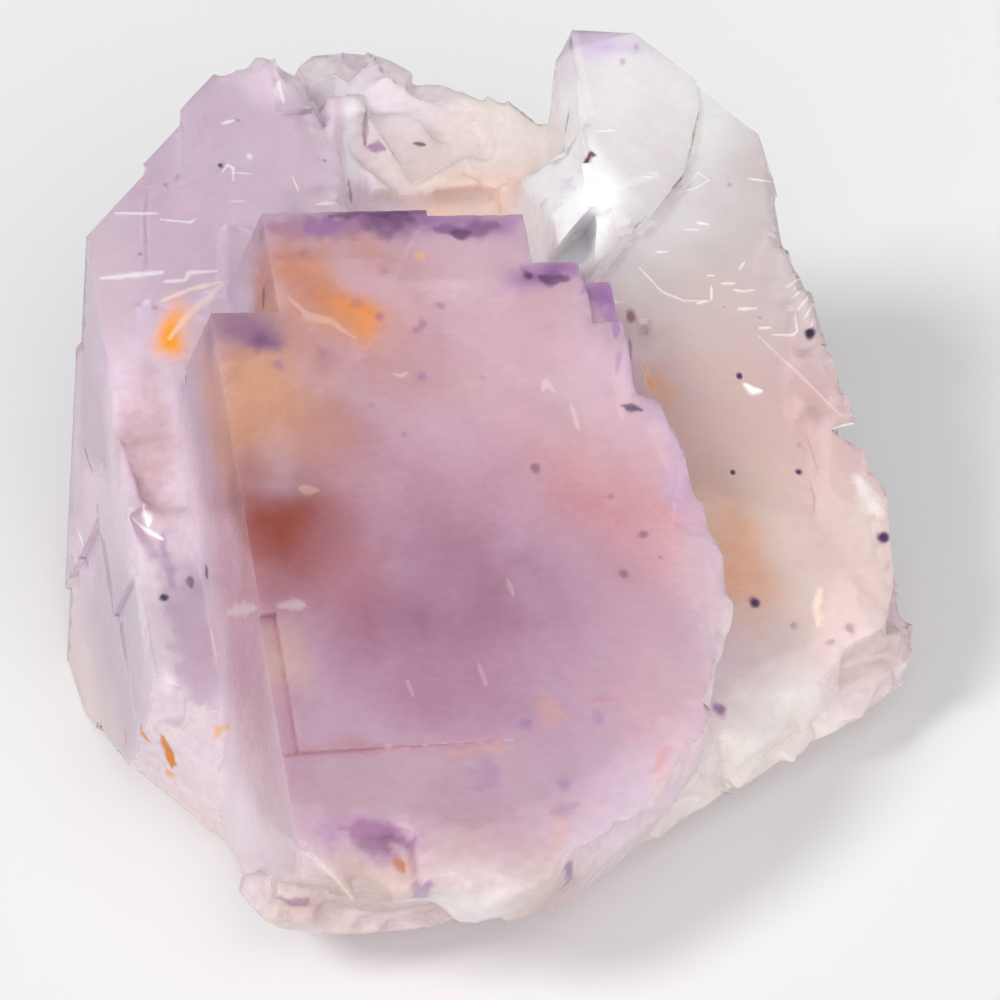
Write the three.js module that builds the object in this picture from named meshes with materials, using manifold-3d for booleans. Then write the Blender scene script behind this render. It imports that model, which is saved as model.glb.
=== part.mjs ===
// A hand specimen of cuboidal fluorite: cubic crystals grown together and broken off along cleavage planes.
// All its crystals share one lattice, so the stone is drawn in lattice axes and then turned as it lies.
// Lattice axes in mm: u runs right across the main face, v up the face, and w out of it from w = 0.
import * as THREE from "three";
import { mergeVertices } from "three/addons/utils/BufferGeometryUtils.js";
import Module from "manifold-3d";

const wasm = await Module();
wasm.setup();

// How the stone lies: the turn of the lattice, and the height of the main face's top left corner over the table
const LATTICE_TURN_DEG = [22.4, 15.4, 10.1];
const CORNER_HEIGHT = 38.0;

// Depth that every block reaches before the underside is cut, and a size larger than the stone
const ROOT_DEPTH = -75;
const BEYOND = 200;

// Levels of the large faces along w
const MAIN_FACE = 0;
const RIGHT_FACE = -4.5;
const RIGHT_LOWER_FACE = -4.7;
const LEFT_FACE_TOP = -11.3;
const SADDLE = -14.2;
const UPPER_RIM = -7.5;
const LOWER_RIM = -12.0;

// Left sides of the blocks along u, and the top edges of the main crystal along v
const LEFT_SIDE = -9.9;
const SHOULDER_SIDE = -5.0;
const SHOULDER_TOP = -8.0;
const MAIN_WIDTH = 12.3;

// Growth ledges on the main face, as [tilted floor, its reach]: the wide one fades out to the right
const LEDGE_WIDTH = 11.5;
const LEDGE_TOP = -41.9;
const WIDE_LEDGE = [[-0.036, 0, 1], -0.42];
const FOOT_LEDGE = [[0.26, 0, 1], -1.57];

// Planes that bound the whole stone, as [normal, reach]: the hidden back, the undercut sides and the left bevel
const BACK_LEFT = [[-1, 1, -1], 27.7];
const BACK_RIGHT = [[1, 1, -1], 54.8];
const UNDER_LEFT = [[-1, -1, -1], 66.2];
const UNDER_RIGHT = [[1, -1, -1], 92.8];
const UNDER_FRONT = [[0, -1, -1], 63.4];
const FRONT_WALL = [[-0.2, -1, -0.25], 53.6];
const UNDER_RIM = [[0.44, -0.9, -0.8], 60.9];
const LEFT_BEVEL = [[-1, -0.19, -0.137], 14.3];

// Colours and finish of clear pale violet fluorite
const STONE_COLOUR = 0xcdb4cb;
const STONE_ROUGHNESS = 0.25;

// Repeatable chance for the uneven breaks
let seed = 20;
function chance() {
  seed = (Math.imul(seed, 1664525) + 1013904223) >>> 0;
  return seed / 4294967296;
}

function between(low, high) {
  return low + (high - low) * chance();
}

// Turns a closed three.js geometry into a solid.
function solidFrom(geometry) {
  geometry.deleteAttribute("normal");
  geometry.deleteAttribute("uv");
  const merged = mergeVertices(geometry, 1e-4);
  return new wasm.Manifold(
    new wasm.Mesh({
      numProp: 3,
      vertProperties: new Float32Array(merged.attributes.position.array),
      triVerts: new Uint32Array(merged.index.array),
    }),
  );
}

// A block with an outline in u and v, from a low to a high level of w.
function prism(outline, low, high) {
  const shape = new THREE.Shape(outline.map(([u, v]) => new THREE.Vector2(u, v)));
  const geometry = new THREE.ExtrudeGeometry(shape, { depth: high - low, bevelEnabled: false });
  return solidFrom(geometry.translate(0, 0, low));
}

// A block between two corners.
function block(from, to) {
  const size = to.map((value, axis) => value - from[axis]);
  const middle = to.map((value, axis) => (value + from[axis]) / 2);
  return solidFrom(new THREE.BoxGeometry(...size).translate(...middle));
}

// Everything beyond the plane a u + b v + c w = reach.
function beyond([a, b, c], reach) {
  const length = Math.hypot(a, b, c);
  const normal = new THREE.Vector3(a, b, c).divideScalar(length);
  const turn = new THREE.Quaternion().setFromUnitVectors(new THREE.Vector3(0, 0, 1), normal);
  const centre = normal.clone().multiplyScalar(reach / length + BEYOND / 2);
  const box = new THREE.BoxGeometry(BEYOND, BEYOND, BEYOND).applyQuaternion(turn);
  return solidFrom(box.translate(centre.x, centre.y, centre.z));
}

// Cuts a solid by planes, each given as [normal, reach].
function cleave(solid, planes) {
  return planes.reduce((rest, [normal, reach]) => rest.subtract(beyond(normal, reach)), solid);
}

function union(solids) {
  return solids.reduce((all, one) => all.add(one));
}

// The largest body of a solid, without loose chips and closed bubbles
function wholeStone(solid) {
  return solid.decompose().reduce((most, body) => (body.volume() > most.volume() ? body : most));
}

// An octahedron with its faces along the cleavage planes, stretched along the axes by the given sizes.
function octahedron(centre, sizes) {
  const geometry = new THREE.OctahedronGeometry(1);
  geometry.scale(...sizes);
  return solidFrom(geometry.translate(...centre));
}

// Points spread along a line of corners.
function along(corners, count) {
  const line = new THREE.CurvePath();
  corners.slice(1).forEach((corner, i) => {
    line.add(new THREE.LineCurve3(new THREE.Vector3(...corners[i]), new THREE.Vector3(...corner)));
  });
  return Array.from({ length: count }, (unused, i) => line.getPoint((i + 0.5) / count).toArray());
}

// Uneven flat breaks along an edge: turned boxes whose inner face dips under the edge by up to the depth
function chips(corners, outward, count, width, depth, unevenness = 0.4) {
  return along(corners, count).map((point) => {
    const tilted = outward.map((value) => value + between(-unevenness, unevenness));
    const facing = new THREE.Vector3(...tilted).normalize();
    const turn = new THREE.Quaternion().setFromUnitVectors(new THREE.Vector3(0, 0, 1), facing);
    const size = width * between(0.6, 1.4);
    const box = new THREE.BoxGeometry(size, size * between(0.6, 1.2), size).rotateZ(between(0, Math.PI));
    const centre = facing.multiplyScalar(size / 2 - depth * chance()).add(new THREE.Vector3(...point));
    return solidFrom(box.applyQuaternion(turn).translate(centre.x, centre.y, centre.z));
  });
}

// Triangular steps in a cleavage plane: large octahedra that dip a little under it.
function cleavageSteps([normal, reach], middle, count, width) {
  return Array.from({ length: count }, () => {
    const size = between(5, 12);
    const centre = middle.map((value) => value + between(-width, width));
    const dip = between(0.5, 1.8);
    const gap = reach - dip + size - normal.reduce((sum, value, i) => sum + value * centre[i], 0);
    return octahedron(centre.map((value, i) => value + (normal[i] * gap) / 3), [size, size, size]);
  });
}

// The main crystal, whose top edge goes down to the right in steps, with a shoulder on its left
function mainCrystal() {
  const outline = [
    [0, 0], [MAIN_WIDTH, 0], [MAIN_WIDTH, -0.5], [19.6, -0.5], [19.6, -4.5], [23.1, -4.5], [23.1, -6],
    [25.4, -6], [25.6, -15.3], [27.3, -15.6], [27.8, -18], [29.3, -21.7], [30.4, -32.4], [28.6, -35.6],
    [26.9, -39.6], [26.2, -43], [23.7, -45.6], [17.7, -49.8], [12.8, -52.6], [8, -53.7], [5.4, -52.4],
    [3.5, -51.8], [-1.3, -53.4], [-2.9, -50.8], [SHOULDER_SIDE, -48.9], [SHOULDER_SIDE, SHOULDER_TOP],
    [0, SHOULDER_TOP],
  ];
  const rightEdge = [[28.6, -20.6, 0], [30, -27, 0], [30.2, -33, 0], [28.6, -35.6, 0], [27.2, -38, 0]];
  const cornerEdge = [[27.2, -38, 0], [26.2, -43, 0], [23.7, -45.6, 0], [17.7, -49.8, 0], [12, -52.8, 0]];
  const frontEdge = [[9, -53.4, 0], [4, -52, 0], [0, -52.6, 0], [-3, -51, 0]];
  const frontSlope = [[14, -52.2, -2], [17, -50.8, -3], [21, -48.6, -4.5], [25, -45.6, -5.5]];
  const ledges = [
    beyond(...WIDE_LEDGE).intersect(block([-10, -60, -5], [LEDGE_WIDTH, LEDGE_TOP, 5])),
    beyond(...FOOT_LEDGE).intersect(block([-10, -60, -5], [3.2, -48.1, 5])),
    block([-10, LEDGE_TOP, -0.7], [-3.9, -31.4, 5]),
    block([23.3, -9.5, -0.45], [30, -5, 5]),
  ];
  const breaks = [
    ...ledges,
    ...chips(rightEdge, [0.9, -0.2, 0.5], 11, 4.4, 0.45, 0.2),
    ...chips(rightEdge.map(([u, v, w]) => [u + 0.8, v, w - 4]), [0.9, -0.3, 0.3], 12, 4.5, 1.1),
    ...chips(cornerEdge, [0.8, -0.7, 0.5], 13, 4.6, 0.6, 0.3),
    ...chips(frontEdge, [0, -1, 0.6], 11, 4.2, 0.7, 0.3),
    ...chips(frontSlope, [1, -1, 0.6], 13, 4.2, 1.1, 0.35),
  ];
  const slopes = [LEFT_BEVEL, [[0, -1, 0.3], 53], [[1, -1, 0.6], 67.6]];
  return cleave(prism(outline, ROOT_DEPTH, MAIN_FACE), slopes).subtract(union(breaks));
}

// The flat crystal behind on the left
function leftCrystal() {
  const outline = [
    [LEFT_SIDE, -31.5], [SHOULDER_SIDE, -37.5], [10.9, -50], [10.9, 9], [10.6, 13.3], [9.2, 15.4], [8.9, 18.6],
    [6.4, 20.6], [-12, 20.6], [LEFT_SIDE, 4],
  ];
  const corner = prism([[6.3, 14.6], [9, 14.6], [9, 18.9], [6.3, 19.8]], ROOT_DEPTH, LEFT_FACE_TOP + 0.9);
  const steps = [
    block([-30, -80, -12.9], [SHOULDER_SIDE, -19.6, 10]),
    block([-30, -80, -80], [LEFT_SIDE + 0.5, -14, -20]),
    block([-30, -60, -60], [LEFT_SIDE + 0.35, -22, 0]),
    octahedron([LEFT_SIDE - 0.4, -13.5, -29.5], [1.6, 1.6, 1.6]),
    octahedron([LEFT_SIDE - 0.2, -9, LEFT_FACE_TOP + 0.6], [1.3, 2.6, 1.3]),
    beyond(BACK_LEFT[0], 25.8).intersect(block([-30, -1.5, -18.5], [-4.6, 10.5, 0])),
    beyond(BACK_LEFT[0], 26.6).intersect(block([-30, 5, -14.5], [-1.2, 16, 0])),
  ];
  const topEdge = [
    [1.5, 19.4, -11.2], [6.6, 20.4, -11.2], [9.6, 17.4, -11], [10.9, 12, -11.2], [10.9, 6, -11.2],
  ];
  const band = [[-9.4, -9, -11.3], [-7.6, -12, -11.3], [-6.6, -15, -11.3], [-7.4, -19, -11.3]];
  const foot = [[-9.6, -31, -14], [-7, -34.6, -14], [-5.4, -37, -14]];
  const breaks = [
    ...steps,
    ...chips(topEdge, [0.3, 0.4, 1], 14, 2.6, 0.6),
    ...chips(band, [-0.3, -0.3, 1], 14, 3, 0.9, 0.25),
    ...chips(foot, [-0.6, -0.7, 0.6], 8, 3, 1),
  ];
  return prism(outline, ROOT_DEPTH, LEFT_FACE_TOP).add(corner).subtract(union(breaks));
}

// The clear right crystal: an upper plate, a lower plate, and cleavage steps on its left edge
function rightCrystal() {
  const upper = [
    [28, 17.7], [32.8, 17.4], [33.9, 16.8], [37.1, 13.2], [36.8, 10.4], [35.7, 7.5], [34.5, 4.9], [31.6, 2],
    [29.8, 0.6], [28.3, 0.6], [28.3, 2.5], [26.6, 2.5], [26.6, 6.2], [27.5, 6.2], [27.5, 9.5], [28, 9.5],
  ];
  const lower = [
    [28, 17.7], [33, 17.4], [41.2, 9.3], [41.8, 5], [42, -1.8], [43.3, -3.6], [43.5, -8.6], [44.6, -15],
    [45, -19], [46.1, -20.6], [45.5, -24.4], [45.2, -28], [44, -31.4], [40.6, -33], [36.4, -35.6], [31, -38.6],
    [26, -42], [20, -46], [10, -40], [20, -8], [26.4, -2.6], [27.4, 2], [27.4, 9.5],
  ];
  const rightEdge = [
    [42, 2, -5.4], [43.5, -6, -5.4], [44.6, -14, -5.4], [46.2, -21, -5.4], [45.6, -28, -5.4], [45.4, -34, -5.4],
  ];
  const stepHigh = prism([[23.6, -1], [30, -1], [30, 9.2], [24.1, 9.2]], ROOT_DEPTH, RIGHT_FACE - 0.4);
  const stepLow = prism([[24, -5], [32, -5], [32, 3.2], [24, 3.2]], ROOT_DEPTH, RIGHT_FACE - 0.9);
  const lowerPlate = cleave(prism(lower, ROOT_DEPTH, RIGHT_LOWER_FACE), [[[-0.04, -0.06, 1], -7.02]]);
  const shellBreak = [
    [18, -4.5], [31, -4.7], [34.1, -5.6], [38, -9], [44.2, -15.2], [48, -18], [48, -60], [18, -60],
  ];
  const breaks = [
    prism(shellBreak, -30, 5).intersect(beyond([-0.06, -0.05, 1], -7.64)),
    block([29.3, -7.3, -7.2], [30.2, -6, 0]),
    ...chips(rightEdge, [1, 0, 0.9], 26, 3.2, 0.7),
    ...chips(rightEdge.map(([u, v, w]) => [u, v, w - 5]), [1, -0.2, 0], 16, 5, 1),
  ];
  return union([
    prism(upper, ROOT_DEPTH, RIGHT_FACE),
    lowerPlate.subtract(union(breaks)),
    cleave(stepHigh, [[[-1, 1, 1], -26.6], [[1, -1, 0], 24.2]]),
    cleave(stepLow, [[[-1, 1, 1], -34.2], [[1, -1, 0], 29.6]]),
  ]);
}

// The rough ground between the left and the right crystal, with its broken crest
function saddle() {
  const ground = [[8, -20], [30, -20], [30, 17.5], [25.5, 18], [19, 19.4], [9, 20.5]];
  const crest = [[9.8, 14], [17.8, 14], [18.8, 19.8], [16, 22.4], [11.2, 22.2], [9.8, 21]];
  const ridge = [[13, 9], [24, 9.5], [24.5, 16], [21, 19.5], [14, 19]];
  const slope = [[23, -4], [30, -4], [30, 18.3], [23.6, 18.3]];
  const crestLine = [
    [10, 21, -14.2], [13, 22.4, -14.2], [17, 21.6, -14.2], [20, 19.6, -14], [24.5, 18.4, -12.6],
    [27.6, 18.6, -9.4],
  ];
  const floorLine = [
    [14, 10, -12.6], [19, 15, -12.6], [23, 11, -12.6], [25, 14, -12.2], [16, 18, -12.6], [22, 17, -12.8],
  ];
  const mass = union([
    prism(ground, ROOT_DEPTH, SADDLE - 1.4),
    cleave(prism(crest, ROOT_DEPTH, SADDLE), [[[-1, 1, 1], -3.5]]),
    cleave(prism(ridge, ROOT_DEPTH, SADDLE + 1.6), [[[1, 1, 1], 27], [[-1, 1, 1], -10]]),
    cleave(prism(slope, ROOT_DEPTH, SADDLE + 5.6), [[[-1, 0, 1], -37]]),
    cleave(block([10.2, 8, ROOT_DEPTH], [13.4, 16.6, LEFT_FACE_TOP]), [[[1, -1, 1], -11.5]]),
  ]);
  const breaks = [
    ...chips(crestLine, [0, 0.5, 1], 16, 4.2, 1, 0.4),
    ...chips(floorLine, [-0.1, -0.2, 1], 13, 5.6, 0.9, 0.25),
  ];
  return mass.subtract(union(breaks));
}

// The broken skirt below the main face and the right crystal, in two terraces
function skirt() {
  const upper = [
    [-4.6, -49], [3, -51.4], [8.5, -53.4], [13, -50.4], [18.2, -47.6], [25.2, -43.6], [32, -40.6], [36.4, -38],
    [40.6, -35.6], [45, -31.8], [45.6, -20], [0, -20],
  ];
  const lower = [
    [-5, -50], [2, -50.4], [6.1, -52.2], [11.2, -52.5], [13.1, -50], [19.8, -48.1], [25.4, -46.3],
    [33.4, -42.8], [37.8, -41], [40.4, -38.9], [43.4, -37.8], [45.5, -35.6], [47.4, -33.9], [48.4, -31.6],
    [48.4, -29], [46.6, -22], [45, -10], [0, -20],
  ];
  const upperLine = [
    [45.8, -26, -7], [42.6, -33.8, -7.5], [35.6, -38.6, -7.5], [28.4, -42.4, -7.5], [20, -46.8, -7],
    [12, -51.4, -6],
  ];
  const lowerLine = [
    [48.8, -26, -12.4], [48, -33.6, -12], [41, -38.8, -12], [33.6, -43, -12], [24, -47, -12],
    [14, -50.6, -12], [6, -52.4, -12], [-3, -50.6, -13],
  ];
  const lumpLine = lowerLine.slice(1).map(([u, v, w]) => [u - 1.6, v + 2.2, w + 1]);
  const lumps = chips(lumpLine, [-0.2, 0.4, -1], 15, 4.4, 1, 0.3);
  const breaks = [
    ...chips(upperLine, [0.5, -0.8, 0.8], 24, 5.4, 1.1, 0.4),
    ...chips(lowerLine, [0.4, -0.9, 0.7], 28, 4.6, 0.9, 0.35),
    ...chips(lowerLine.map(([u, v, w]) => [u, v + 0.6, w - 2.5]), [0.3, -0.9, -0.6], 20, 5, 0.8, 0.35),
  ];
  const mass = union([prism(upper, ROOT_DEPTH, UPPER_RIM), prism(lower, ROOT_DEPTH, LOWER_RIM), ...lumps]);
  return mass.subtract(union(breaks));
}

function stone() {
  const grown = union([leftCrystal(), saddle(), rightCrystal(), skirt(), mainCrystal()]);
  const hidden = [
    ...cleavageSteps(BACK_LEFT, [2, 2, -30], 9, 8),
    ...cleavageSteps(BACK_RIGHT, [26, 6, -26], 9, 8),
    ...cleavageSteps(UNDER_LEFT, [-4, -38, -26], 4, 4),
    ...cleavageSteps(UNDER_RIGHT, [40, -26, -24], 5, 5),
  ];
  const frontWall = [[-4, -50, -5], [1, -51, -7], [6, -51.6, -9], [12, -50, -11]];
  const wall = chips(frontWall, [-0.1, -1, -0.2], 14, 6, 0.9, 0.25);
  const sides = [BACK_LEFT, BACK_RIGHT, UNDER_LEFT, UNDER_RIGHT, UNDER_FRONT, UNDER_RIM, FRONT_WALL];
  return cleave(grown, sides).subtract(union([...hidden, ...wall]));
}

// Turns the lattice as the stone lies, cuts it flat underneath, and sets it on its origin.
function place(solid) {
  const group = new THREE.Group();
  group.rotation.set(...LATTICE_TURN_DEG.map(THREE.MathUtils.degToRad));
  group.updateMatrixWorld();
  const up = new THREE.Vector3(0, 0, 1).applyQuaternion(group.quaternion.clone().invert());
  const rested = wholeStone(cleave(solid, [[up.clone().negate().toArray(), CORNER_HEIGHT]]));
  const data = rested.getMesh();
  const geometry = new THREE.BufferGeometry();
  geometry.setAttribute("position", new THREE.BufferAttribute(data.vertProperties, 3));
  geometry.setIndex(new THREE.BufferAttribute(data.triVerts, 1));
  const material = new THREE.MeshStandardMaterial({ color: STONE_COLOUR, roughness: STONE_ROUGHNESS });
  const mesh = new THREE.Mesh(geometry, material);
  mesh.name = "fluorite_crystals";
  group.add(mesh);
  const box = new THREE.Box3().setFromObject(group, true);
  group.position.set(-(box.min.x + box.max.x) / 2, -(box.min.y + box.max.y) / 2, -box.min.z);
  return group;
}

const specimen = new THREE.Group();
specimen.add(place(stone()));

export default specimen;
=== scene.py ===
"""Visual model of a hand specimen of cuboidal fluorite, for Blender 4.5.

The stone is one group of pale violet cubic crystals that share a lattice, broken off along cleavage planes.
Sizes are in millimetres in the lattice of the crystals, and in metres in the frame of the part.
"""

import sys
import logging
import math
from dataclasses import dataclass, field
from enum import Enum, IntEnum
from typing import Any, Sequence

import bmesh
import bpy
import numpy as np
from bmesh.types import BMesh, BMFace, BMLayerItem, BMVert
from mathutils import Matrix, Vector, noise


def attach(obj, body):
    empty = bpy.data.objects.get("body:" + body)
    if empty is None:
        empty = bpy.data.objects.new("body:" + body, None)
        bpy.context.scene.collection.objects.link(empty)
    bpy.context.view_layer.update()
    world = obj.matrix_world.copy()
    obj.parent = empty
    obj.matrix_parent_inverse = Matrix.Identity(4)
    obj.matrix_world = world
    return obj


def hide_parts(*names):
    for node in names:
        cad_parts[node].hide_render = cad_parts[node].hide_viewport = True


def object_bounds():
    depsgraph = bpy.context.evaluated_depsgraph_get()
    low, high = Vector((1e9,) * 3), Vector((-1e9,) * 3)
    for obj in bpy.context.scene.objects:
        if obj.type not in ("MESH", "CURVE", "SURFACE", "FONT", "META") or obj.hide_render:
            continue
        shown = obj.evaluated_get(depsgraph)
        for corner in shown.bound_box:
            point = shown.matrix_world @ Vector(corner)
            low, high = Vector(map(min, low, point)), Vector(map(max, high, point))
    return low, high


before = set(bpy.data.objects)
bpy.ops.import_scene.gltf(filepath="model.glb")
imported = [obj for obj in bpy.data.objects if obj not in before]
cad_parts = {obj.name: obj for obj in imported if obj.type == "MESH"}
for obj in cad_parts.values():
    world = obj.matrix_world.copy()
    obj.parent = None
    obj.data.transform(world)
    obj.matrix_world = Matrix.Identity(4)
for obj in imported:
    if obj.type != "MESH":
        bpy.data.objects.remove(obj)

CAD_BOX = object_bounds()
CAD_NODE = "fluorite_crystals"
MM = 0.001
SEEN_GAIN = 1.2
SOFT_END = 1.25
MARK_DEPTH_MM = 1.5
MARK_LEAST_REACH_MM = 0.05
OFF_FACE_GAIN = 4.0
LEAST_RUN = 1e-9
LIP_ANGLE = 0.35
UNEVEN_PER_MM = 1.1
WAVER_PER_MM = 0.22
WAVER_LAYERS = 2
WAVER_SHIFTS = ((2.3, 5.1, 3.7), (31.4, 7.7, 12.9), (5.2, 43.1, 28.6))
VEIL_FADE = 1.0
VEIL_STEP = 2.0
VEIL_LAYERS = 3
SCOOP_LEAST = 0.55
SCOOP_SPREAD = 0.45
SCOOP_TILT = 0.8
SCOOP_DEPTH_SEED = 3.1
SCOOP_TILT_SEED = 5.3
PRODUCT = {"operation": "MULTIPLY"}

log = logging.getLogger("fluorite")

Point = tuple[float, float, float]
Place = tuple[float, float]
Span = tuple[float, float]


def linear(colour: str) -> tuple[float, float, float, float]:
    """Turns an sRGB hex colour into linear red, green, blue and alpha.

    Args:
        colour: Six hex digits after a hash, such as "#D0BDC6".

    Returns:
        The linear colour with an alpha of 1.
    """
    values = [int(colour[i : i + 2], 16) / 255 for i in (1, 3, 5)]
    red, green, blue = (v / 12.92 if v <= 0.04045 else ((v + 0.055) / 1.055) ** 2.4 for v in values)
    return red, green, blue, 1.0


def as_seen(colour: str) -> tuple[float, float, float, float]:
    """The base colour that looks like the given one in the studio's light.

    Args:
        colour: The sRGB hex colour that the eye sees.

    Returns:
        The linear base colour.
    """
    red, green, blue = (min(value * SEEN_GAIN, 1.0) for value in linear(colour)[:3])
    return red, green, blue, 1.0


def add_node(
    tree: bpy.types.NodeTree, kind: str, settings: dict[str, Any] | None = None, **inputs: Any
) -> bpy.types.Node:
    """Adds one shader node with its settings, its values and its links.

    Args:
        tree: The node tree that gets the node.
        kind: The node's type name, such as "ShaderNodeMath".
        settings: Properties of the node, such as its operation.
        **inputs: Input sockets by name, or by number after an "i": a socket to link, or a value to set.

    Returns:
        The new node.
    """
    node = tree.nodes.new(kind)
    for name, value in (settings or {}).items():
        setattr(node, name, value)
    for name, value in inputs.items():
        numbered = name[0] == "i" and name[1:].isdigit()
        socket = node.inputs[int(name[1:])] if numbered else node.inputs[name.replace("_", " ")]
        if isinstance(value, bpy.types.NodeSocket):
            tree.links.new(value, socket)
        else:
            socket.default_value = value
    return node


def add_object(name: str, data: bpy.types.ID) -> bpy.types.Object:
    """Makes an object of a mesh, a light or a camera and links it to the scene."""
    made = bpy.data.objects.new(name, data)
    bpy.context.scene.collection.objects.link(made)
    return made


def span_inputs(source: Span, target: Span) -> dict[str, float]:
    """The inputs of a map range node that move one span of values into another."""
    return dict(zip(("i1", "i2", "i3", "i4"), (*source, *target)))


def smooth_step(values: np.ndarray) -> np.ndarray:
    """Eases values from 0 to 1 and holds them beyond."""
    held = np.clip(values, 0.0, 1.0)
    return held * held * (3.0 - 2.0 * held)


class SurfaceKind(IntEnum):
    """How a patch of the stone's surface came about."""

    GROWTH = 0
    CLEAVAGE = 1
    SHELL = 2
    BROKEN = 3
    BASE = 4


FLAT_KINDS = (SurfaceKind.GROWTH, SurfaceKind.CLEAVAGE, SurfaceKind.BASE)
FROST_OF_KIND = {
    SurfaceKind.GROWTH: 0.0,
    SurfaceKind.CLEAVAGE: 0.15,
    SurfaceKind.SHELL: 0.2,
    SurfaceKind.BROKEN: 0.9,
    SurfaceKind.BASE: 0.6,
}


@dataclass(frozen=True)
class Lattice:
    """The shared lattice: u runs right across the main face, v up the face, and w out of it.

    Attributes:
        turn_deg: Turns about X, Y and Z that lay the lattice as the stone lies.
        corner_mm: The main face's top left corner in the frame of the part.
    """

    turn_deg: Point = (22.4, 15.4, 10.1)
    corner_mm: Point = (-16.0296, 8.3350, 38.0)

    def turn(self) -> Matrix:
        """The rotation from lattice axes to the part's axes."""
        about_x, about_y, about_z = (
            Matrix.Rotation(math.radians(angle), 3, axis) for angle, axis in zip(self.turn_deg, "XYZ")
        )
        return about_x @ about_y @ about_z

    def from_part(self, points: np.ndarray) -> np.ndarray:
        """Lattice points in mm of part points in metres."""
        return (points / MM - np.array(self.corner_mm)) @ np.array(self.turn())

    def to_part(self, points: np.ndarray) -> np.ndarray:
        """Part points in metres of lattice points in mm."""
        return (points @ np.array(self.turn()).T + np.array(self.corner_mm)) * MM

    def height(self, points: np.ndarray) -> np.ndarray:
        """Heights in mm over the resting surface of lattice points."""
        return points @ np.array(self.turn())[2] + self.corner_mm[2]


@dataclass(frozen=True)
class Zone:
    """A cloud of colour in the crystal, a patch of painted light, or a worn place, as an ellipsoid with a
    soft edge.

    Attributes:
        name: What the zone is.
        centre: Its middle in lattice mm.
        reach: Its half sizes along u, v and w in mm.
        colour: Its sRGB colour. A worn place has none.
        strength: Share of the colour, or how worn the ground is, at its middle.
        core: Share of the reach that has the full strength.
        turn_deg: Turn of the ellipsoid about w.
        milk: How much of the clearness is lost at its middle.
    """

    name: str
    centre: Point
    reach: Point
    colour: str = ""
    strength: float = 1.0
    core: float = 0.0
    turn_deg: float = 0.0
    milk: float = 0.0

    def share(self, places: np.ndarray) -> np.ndarray:
        """The zone's strength at each lattice point.

        Args:
            places: Lattice points.

        Returns:
            The full strength in the core, and 0 a little past the reach.
        """
        turn = np.array(Matrix.Rotation(math.radians(self.turn_deg), 3, "Z"))
        far = np.linalg.norm((places - np.array(self.centre)) @ turn / np.array(self.reach), axis=1)
        return self.strength * smooth_step((SOFT_END - far) / (SOFT_END - self.core))


class Tone(Enum):
    """The colours of small marks: inclusions, stains, and the white of fine steps, which is partly their
    frosted lips and partly painted glints.
    """

    DARK = "#452650"
    BLACK = "#2A1A38"
    PLUM = "#6B3F72"
    VIOLET = "#8C6196"
    MAUVE = "#8D5F80"
    MAROON = "#6B3A45"
    BROWN = "#A5685A"
    PINK = "#BC7088"
    AMBER = "#C9780F"
    ORANGE = "#D9A05F"
    CREAM = "#F3DFCB"
    # Partly painted highlight: white for the frosted lips of fine steps and for the glints that they catch.
    FROST_AND_GLINT = "#FFFFFF"


@dataclass(frozen=True)
class MarkEdge:
    """How a mark ends at its sides and at the ends of its path.

    Attributes:
        taper: How much narrower it gets towards the ends.
        uneven: How much its width varies.
        soft: How many half widths from the middle line it ends.
    """

    taper: float
    uneven: float
    soft: float


RAISED_EDGE = MarkEdge(0.5, 0.5, 1.2)
FLUSH_EDGE = MarkEdge(0.6, 0.9, 1.4)


@dataclass(frozen=True)
class Mark:
    """A narrow mark on a face.

    Attributes:
        path: The points that it runs through, in lattice mm. One point makes a dot.
        width: Its width in mm.
        tone: Its colour.
        strength: Share of the colour on its middle line.
        height: How far it stands out of the face in mm.
        across: The axis that the face looks along, counted from u.
    """

    path: tuple[Point, ...]
    width: float
    tone: Tone = Tone.FROST_AND_GLINT
    strength: float = 0.6
    height: float = 0.04
    across: int = 2

    def distance(self, places: np.ndarray) -> tuple[np.ndarray, np.ndarray]:
        """Distance of lattice points from the middle line, measured along the face.

        Args:
            places: Lattice points.

        Returns:
            The distances in mm, large for points on other faces, and how far along the path each point is,
            0 to 1.
        """
        depth = self.path[0][self.across]
        plan = [axis for axis in range(3) if axis != self.across]
        flat = places[:, plan]
        best = np.full(len(places), np.inf)
        along = np.full(len(places), 0.5)
        ends = self.path[1:] or self.path
        for number, (start, end) in enumerate(zip(self.path, ends)):
            a = np.array([start[axis] for axis in plan])
            run = np.array([end[axis] for axis in plan]) - a
            part = np.clip((flat - a) @ run / max(float(run @ run), LEAST_RUN), 0.0, 1.0)
            away = np.linalg.norm(flat - a - part[:, None] * run, axis=1)
            if len(self.path) > 1:
                along = np.where(away < best, (number + part) / len(ends), along)
            best = np.minimum(best, away)
        off = np.abs(places[:, self.across] - depth) - MARK_DEPTH_MM
        return best + np.maximum(off, 0.0) * OFF_FACE_GAIN, along

    def share(self, places: np.ndarray, chance: np.ndarray) -> np.ndarray:
        """Share of the mark at lattice points.

        Args:
            places: Lattice points.
            chance: An uneven value for each, about -1 to 1.

        Returns:
            Shares from 1 on the middle line to 0 past the edge, thinner where the chance is low.
        """
        away, along = self.distance(places)
        edge = RAISED_EDGE if self.height else FLUSH_EDGE
        narrow = 1.0 - edge.taper * (2.0 * along - 1.0) ** 2
        reach = 0.5 * self.width * (1.0 + edge.uneven * chance) * narrow
        return smooth_step(edge.soft - away / np.maximum(reach, MARK_LEAST_REACH_MM))


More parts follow.
